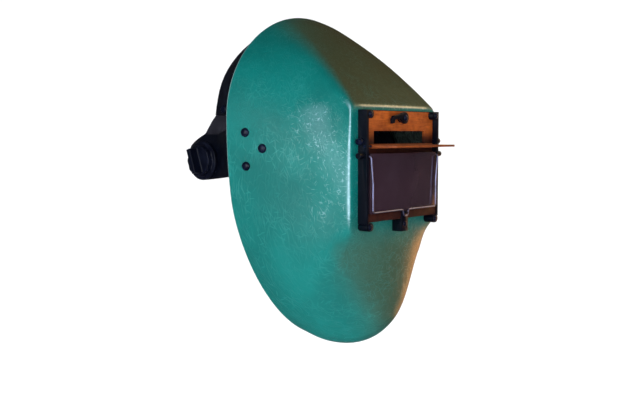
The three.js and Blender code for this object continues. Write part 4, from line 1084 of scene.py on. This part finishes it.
    def loops(self, inset: float) -> list[np.ndarray]:
        """Loops of the surface moved inward, from the rounded edge of the face to the rim."""
        directions = self.directions()
        stations = np.linspace(0, 1, self.rows + 1)
        grid = self.surface(directions, stations)
        back = np.gradient(grid, axis=0)
        around = np.roll(grid, -1, axis=1) - np.roll(grid, 1, axis=1)
        normals = np.cross(back, around)
        normals /= np.linalg.norm(normals, axis=2, keepdims=True)
        face_normal = np.array([0.0, -1.0, 0.0])
        edge_normal = normals[0]
        mitre = (edge_normal + face_normal) / (1 + edge_normal @ face_normal)[:, None]
        edge = grid[0] - mitre * inset
        moved = grid - normals * inset
        lengths = np.linalg.norm(np.diff(grid, axis=0), axis=2).cumsum(axis=0)
        run = np.vstack([np.zeros((1, grid.shape[1])), lengths])
        rounding = self.inner_fillet if inset > 0 else self.fillet
        outward = np.stack([edge_normal[:, 0], np.zeros(len(edge)), edge_normal[:, 2]], axis=-1)
        outward /= np.linalg.norm(outward, axis=1, keepdims=True)
        start = edge - outward * rounding

        def reached(share: float) -> np.ndarray:
            """The loop at a share of the way from the rounding's end back to the rim."""
            reach = rounding + (run[-1] - rounding) * share
            columns = [
                [np.interp(reach[k], run[:, k], moved[:, k, axis]) for axis in range(3)]
                for k in range(grid.shape[1])
            ]
            return np.array(columns)

        landing = reached(0.0)
        loops = []
        for step in range(self.fillet_steps + 1):
            s = step / self.fillet_steps
            loops.append((1 - s) ** 2 * start + 2 * s * (1 - s) * edge + s * s * landing)
        return loops + [reached(row / self.rows) for row in range(1, self.rows + 1)]

    def opening(self, directions: np.ndarray, y: float) -> np.ndarray:
        """The edge of the view opening at a level y, with a point for each direction."""
        middle = (self.view_top + self.view_bottom) / 2
        half_height = (self.view_top - self.view_bottom) / 2
        x = directions[:, 0] / self.face_half_width
        z = (directions[:, 1] - middle) / ((self.face_top - self.face_bottom) / 2)
        scale = 1 / np.maximum(np.abs(x), np.abs(z))
        x, z = x * scale, z * scale
        return np.stack([x * self.view_half_width, np.full(len(x), y), middle + z * half_height], axis=-1)

    def build(self) -> Object:
        """Builds the whole wall: outside, rim, inside and the view opening's edge."""
        directions = self.directions()
        count = len(directions)
        outer = self.loops(0)
        inner = self.loops(self.wall)
        outer_hole = self.opening(directions, self.face_y)
        inner_hole = self.opening(directions, self.face_y + self.wall)
        rim_out, rim_in = outer[-1], inner[-1]
        before_edge = (outer[-2] + rim_out) / 2
        edge = rim_out + (rim_in - rim_out) * self.edge_bevel
        middle = (edge + rim_in) / 2 + np.array([0, self.edge_bevel, 0])
        loops = [outer_hole, *outer[:-1], before_edge, edge, middle, *inner[::-1], inner_hole]
        vertices = np.stack(loops)
        runs = np.zeros(vertices.shape[:2])
        runs[1:] = np.linalg.norm(np.diff(vertices, axis=0), axis=2).cumsum(axis=0)
        total = len(loops)
        cut_rows = range(len(outer), len(outer) + 3)
        gel, bare, cut = range(3)
        faces, kinds, lay = [], [], []
        for row in range(total):
            following = (row + 1) % total
            low, high = runs[row], runs[following] if following else runs[row] + self.wall
            kind = cut if row in cut_rows else bare if row > len(outer) else gel
            for k in range(count):
                j = (k + 1) % count
                here, there = row * count, following * count
                faces.append((here + k, there + k, there + j, here + j))
                kinds.append(kind)
                across, beyond = k / count * self.lay_width, (k + 1) / count * self.lay_width
                lay.extend(((across, low[k]), (across, high[k]), (beyond, high[j]), (beyond, low[j])))
        shell = mesh_object("shell_skin", vertices.reshape(-1, 3), faces)
        for finish in (Finish.GEL_COAT, Finish.BARE_MAT, Finish.CUT_EDGE):
            shell.data.materials.append(finish.material())
        for polygon, kind in zip(shell.data.polygons, kinds):
            polygon.material_index = kind
        layer = shell.data.uv_layers.new(name="lay")
        for spot, (across, along) in zip(layer.data, lay):
            spot.uv = (across * MM, along * MM)
        work = bmesh.new()
        work.from_mesh(shell.data)
        bmesh.ops.recalc_face_normals(work, faces=work.faces)
        work.to_mesh(shell.data)
        work.free()
        smooth_by_angle(shell.data, self.shading_angle)
        # Marks the painted warm light and the painted highlight on the shell's points.
        GelPaintedLight().mark(shell.data)
        return dress(shell, Finish.GEL_COAT, "shell", "shell")


@dataclass
class RivetedBrackets:
    """The ear brackets inside the shell and the domed rivets that hold them."""

    shell: FaceShell
    pivot_z: float = -22
    bracket_thickness: float = 3
    from_rim: tuple[float, ...] = (20, 37, 20)
    above_pivot: tuple[float, ...] = (29, 14, -3)
    names: tuple[str, ...] = ("top", "front", "bottom")
    gap: float = 0.3
    rounding: EdgeRounding = EdgeRounding(0.5)

    def build(self) -> None:
        """Builds the rivets and the brackets."""
        places = []
        for name, rim, rise in zip(self.names, self.from_rim, self.above_pivot):
            point, normal = self.shell.spot(self.shell.rim_y - rim, self.pivot_z + rise)
            for hand, side in SIDES.items():
                facing = Vector((normal.x * side, normal.y, normal.z))
                seat = Vector((point.x * side, point.y, point.z)) + facing * self.gap
                places.append(Fastener(f"shell_rivet_{hand}_{name}", seat, facing))
        rivets = DomedFasteners(
            "shell_rivets",
            Finish.BLACK_METAL,
            head_radius=4.4,
            head_height=2.2,
            shank_radius=2.3,
            shank_length=self.shell.wall + self.bracket_thickness + 3 * self.gap,
            tail_radius=3.6,
            tail_height=1.6,
        )
        rivets.make(places, "shell")
        for hand in SIDES:
            node = f"ear_bracket_{hand}"
            self.rounding.dress(node, node + "_moulded", Finish.BLACK_FRAME, "shell")


# The window


@dataclass
class BailWire:
    """The wire bail, bent from one length, from a cap outside each flange."""

    end_x: float = 67.5
    channel_x: float = 56.6
    leg_x: float = 53.5
    wire_y: float = -173.3
    pivot_y: float = -167.4
    pivot_z: float = -14.5
    shoulder_drop: float = 26
    bottom_z: float = -67.5
    dip: float = 6
    dip_half_width: float = 3.4
    wire_radius: float = 0.78
    bend_radius: float = 2.6
    shading_angle: float = 50

    def path(self) -> list[tuple[float, float, float]]:
        """The wire's bends from the left end to the right."""
        r = self.wire_radius
        half = [
            (self.end_x, self.pivot_y, self.pivot_z),
            (self.channel_x, self.pivot_y, self.pivot_z),
            (self.channel_x, self.wire_y, self.pivot_z - r),
            (self.leg_x, self.wire_y, self.pivot_z - self.shoulder_drop),
            (self.leg_x, self.wire_y, self.bottom_z),
            (self.dip_half_width + 1.5 * r, self.wire_y, self.bottom_z),
            (self.dip_half_width, self.wire_y, self.bottom_z - self.dip),
        ]
        return half + [(-x, y, z) for x, y, z in reversed(half)]

    def tree(self) -> ShapeTree:
        """Builds the tree that rounds the bends and sweeps the wire along them."""
        tree = ShapeTree("bail_wire")
        wire = tree.size("Wire Radius", self.wire_radius * MM)
        bend = tree.size("Bend Radius", self.bend_radius * MM)
        curve = tree.shape("MeshToCurve", Mesh=tree.source.outputs[0])
        rounded = tree.shape(
            "FilletCurve", {"mode": "POLY"}, Curve=curve, Count=7, Radius=bend, Limit_Radius=True
        )
        section = tree.shape("CurvePrimitiveCircle", Resolution=14, Radius=wire)
        swept = tree.shape("CurveToMesh", Curve=rounded, Profile_Curve=section, Fill_Caps=True)
        tree.close(swept, Finish.WIRE.material())
        return tree

    def build(self) -> None:
        """Builds the bail."""
        points = self.path()
        source = mesh_object("bail_path", points, edges=[(k, k + 1) for k in range(len(points) - 1)])
        sizes = {"Wire Radius": self.wire_radius, "Bend Radius": self.bend_radius}
        bail = self.tree().make(source, "bail_wire", sizes)
        smooth_by_angle(bail.data, self.shading_angle)
        dress(bail, Finish.WIRE, "bail", "glass_bail")


@dataclass
class WindowAssembly:
    """The frame, the laminate board, the glass, the flap and their small fittings."""

    screw_x: float = 55.5
    screw_levels: tuple[float, ...] = (24, -80.7)
    screw_head: float = 1.6
    screw_shank: float = 1.5
    flange_y: float = -171.5
    gap: float = 0.3
    bail: BailWire = field(default_factory=BailWire)
    soft: SoftMoulding = SoftMoulding(0.3, 4)

    def build(self) -> None:
        """Builds the window's pieces."""
        for node, finish, width in (
            ("window_frame", Finish.BLACK_FRAME, 0.7),
            ("window_board", Finish.BOARD, 0.4),
            ("dark_glass", Finish.GLASS, 0.35),
            ("bail_catch", Finish.BLACK_FRAME, 0.5),
        ):
            EdgeRounding(width).dress(node, node + "_finished", finish, "shell")
        EdgeRounding(0.5, 3).dress("slot_flap", "flap_finished", Finish.FLAP, "flap")
        SoftMoulding(0.35, 4).dress("turn_latch", "latch_finished", Finish.BLACK_FRAME, "latch")
        self.bail.build()
        for hand in SIDES:
            cap, screw = f"bail_cap_{hand}", f"side_screw_{hand}"
            self.soft.dress(cap, cap + "_finished", Finish.BLACK_FRAME, "bail")
            self.soft.dress(screw, screw + "_finished", Finish.BLACK_METAL, "shell")
        self.screws()
        repaint("flap_rod", Finish.BLACK_METAL)

    def screws(self) -> None:
        """Builds the slotted screw heads on the window's face."""
        forward = Vector((0, -1, 0))
        face_y = self.flange_y - self.gap
        seats = [
            Fastener(f"frame_screw_{level}_{hand}", Vector((side * self.screw_x, face_y, z)), forward)
            for level, z in zip(("top", "bottom"), self.screw_levels)
            for hand, side in SIDES.items()
        ]
        self.screw("frame_screws", 2.8, 12.9).make(seats, "shell")
        for node, radius in (("latch_screw", 3.0), ("catch_screw", 2.8)):
            low, high = (Vector(corner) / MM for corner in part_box(node))
            seat = Vector(((low.x + high.x) / 2, low.y + self.screw_head, (low.z + high.z) / 2))
            screw = self.screw(node + "_domed", radius, high.y - seat.y - self.gap)
            screw.make([Fastener(node, seat, forward)], "shell")

    def screw(self, name: str, radius: float, length: float) -> DomedFasteners:
        """A slotted screw with a head of the given radius and a shank of the given length."""
        return DomedFasteners(
            name,
            Finish.BLACK_METAL,
            head_radius=radius,
            head_height=self.screw_head,
            shank_radius=self.screw_shank,
            shank_length=length,
            tail_radius=self.screw_shank,
            tail_height=0.3,
            slot_width=0.6,
            slot_depth=0.7,
        )


# The harness


@dataclass
class HeadHarness:
    """The head band, the crown strap, the ear plates and the side tension knobs."""

    band: EdgeRounding = EdgeRounding(0.6, 2, 40)
    plate: EdgeRounding = EdgeRounding(0.6, 2)
    knob: SoftMoulding = SoftMoulding(0.42, 8)

    def build(self) -> None:
        """Builds the harness."""
        for node, name in (("head_band", "band_finished"), ("crown_strap", "strap_finished")):
            self.band.dress(node, name, Finish.BLACK_HARNESS, "harness")
        for hand in SIDES:
            plate = f"ear_plate_{hand}"
            knob = f"tension_knob_{hand}"
            # The ear plates take the lighter, painted-light copy of the harness plastic.
            self.plate.dress(plate, plate + "_moulded", Finish.GREY_HARNESS, "harness")
            self.knob.dress(knob, knob + "_moulded", Finish.BLACK_KNOB, f"knob_{hand}")
            for stud in (f"strap_stud_{hand}", f"pivot_stud_{hand}"):
                repaint(stud, Finish.BLACK_METAL)


# The studio


@dataclass(frozen=True)
class SoftLight:
    """One soft rectangular light, with places in metres and its power in watts."""

    name: str
    place: Place
    aim: Place
    size: tuple[float, float]
    power: float
    tint: Colour

    def build(self) -> Object:
        """Builds the light."""
        data = bpy.data.lights.new(self.name, "AREA")
        data.shape = "RECTANGLE"
        data.size, data.size_y = self.size
        data.energy = self.power
        data.color = self.tint
        light = bpy.data.objects.new(self.name, data)
        light.location = self.place
        way = Vector(self.aim) - Vector(self.place)
        light.rotation_euler = way.to_track_quat("-Z", "Y").to_euler()
        bpy.context.scene.collection.objects.link(light)
        return light


GENERAL_LIGHTS = (
    SoftLight("key", (-1.55, -0.45, 0.12), (0, -0.05, -0.02), (1.0, 1.0), 18, (0.90, 0.97, 1.0)),
    SoftLight("crease_strip", (-0.78, -1.20, 0.08), (0, -0.1, -0.02), (0.12, 0.7), 7, (0.92, 0.95, 1.0)),
)
WARM_LIGHTS = (
    SoftLight("warm_top", (1.15, -0.78, 0.72), (0, -0.1, 0.02), (0.5, 0.4), 7.5, (1.0, 0.70, 0.36)),
    SoftLight("warm_right", (1.35, -0.10, -0.25), (0, -0.1, -0.1), (0.5, 1.0), 8, (1.0, 0.42, 0.14)),
)
FLOOR_LIGHTS = (
    SoftLight("floor_wash_-1", (-0.8, 1.4, 2.4), (1.0, 0.9, 0.2), (1.6, 1.6), 64, (1.0, 1.0, 1.0)),
    SoftLight("floor_wash_1", (1.4, -0.8, 2.4), (1.0, 0.9, 0.2), (1.6, 1.6), 64, (1.0, 1.0, 1.0)),
)


@dataclass
class Studio:
    """The camera, the pale sweep and the lights."""

    camera_place: Place = (-0.6848, -0.639, 0.005)
    azimuth: float = -50.0
    pitch: float = 4.4
    lens: float = 47.81
    floor_z: float = -0.34
    sweep_near: float = 1.6
    sweep_far: float = 2.4
    sweep_rise: float = 2.6
    sweep_front: float = -4.0
    sweep_half_width: float = 4.5
    sweep_steps: int = 12
    sweep_shading_angle: float = 60
    sky_tint: tuple[float, ...] = (0.95, 0.97, 1.0, 1)
    sky_strength: float = 0.07

    def set_camera(self) -> None:
        """Sets the photograph's viewpoint."""
        data = bpy.data.cameras.new("view")
        data.sensor_width = 36
        data.lens = self.lens
        data.clip_end = 30
        camera = bpy.data.objects.new("view", data)
        camera.location = self.camera_place
        camera.rotation_euler = (math.radians(90 - self.pitch), 0, math.radians(self.azimuth))
        bpy.context.scene.collection.objects.link(camera)
        bpy.context.scene.camera = camera

    def build_floor(self) -> None:
        """Lays the pale floor, swept up behind the helmet."""
        forward = Vector((-math.sin(math.radians(self.azimuth)), math.cos(math.radians(self.azimuth)), 0))
        right = Vector((forward.y, -forward.x, 0))
        radius = self.sweep_far - self.sweep_near
        profile = [(self.sweep_front, 0.0), (self.sweep_near, 0.0)]
        for step in range(1, self.sweep_steps + 1):
            angle = math.pi / 2 * step / self.sweep_steps
            profile.append((self.sweep_near + radius * math.sin(angle), radius * (1 - math.cos(angle))))
        profile.append((self.sweep_far, self.sweep_rise))
        vertices, faces = [], []
        for reach, rise in profile:
            for side in (-self.sweep_half_width, self.sweep_half_width):
                point = forward * reach + right * side
                vertices.append((point.x / MM, point.y / MM, (self.floor_z + rise) / MM))
        for k in range(len(profile) - 1):
            faces.append((2 * k, 2 * k + 1, 2 * k + 3, 2 * k + 2))
        floor = mesh_object("studio_sweep", vertices, faces)
        floor.data.materials.append(PaleFloor().make())
        smooth_by_angle(floor.data, self.sweep_shading_angle)
        floor.visible_glossy = False
        floor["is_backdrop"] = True

    def light_only(self, light: Object, group: str, floor: bool) -> None:
        """Lets a light fall on the floor only, or on everything but the floor."""
        lit = bpy.data.collections.get(group) or bpy.data.collections.new(group)
        for piece in bpy.context.scene.objects:
            chosen = piece.type == "MESH" and (piece.name == "studio_sweep") == floor
            if chosen and piece.name not in lit.objects:
                lit.objects.link(piece)
        light.light_linking.receiver_collection = lit

    def set_lights(self) -> None:
        """Sets the sky light, the cool key, the crease strip, the warm fills and the floor's lights."""
        world = bpy.data.worlds.new("studio")
        world.use_nodes = True
        background = world.node_tree.nodes["Background"]
        background.inputs["Color"].default_value = self.sky_tint
        background.inputs["Strength"].default_value = self.sky_strength
        bpy.context.scene.world = world
        for light in GENERAL_LIGHTS:
            light.build()
        for light in WARM_LIGHTS:
            self.light_only(light.build(), "lit_helmet", floor=False)
        for light in FLOOR_LIGHTS:
            self.light_only(light.build(), "lit_floor", floor=True)


def main() -> None:
    """Builds the camera, the helmet's parts and the studio in order."""
    logging.basicConfig(level=logging.INFO, format="%(name)s: %(message)s")
    packed_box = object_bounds()
    studio = Studio()
    studio.set_camera()
    shell = FaceShell()
    shell.build()
    RivetedBrackets(shell).build()
    WindowAssembly().build()
    HeadHarness().build()
    studio.build_floor()
    studio.set_lights()
    bpy.context.scene.view_settings.view_transform = "Standard"
    [[list(corner) for corner in box] for box in (packed_box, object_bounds())]
    LOG.info("all pieces built")


if __name__ == "__main__":
    main()
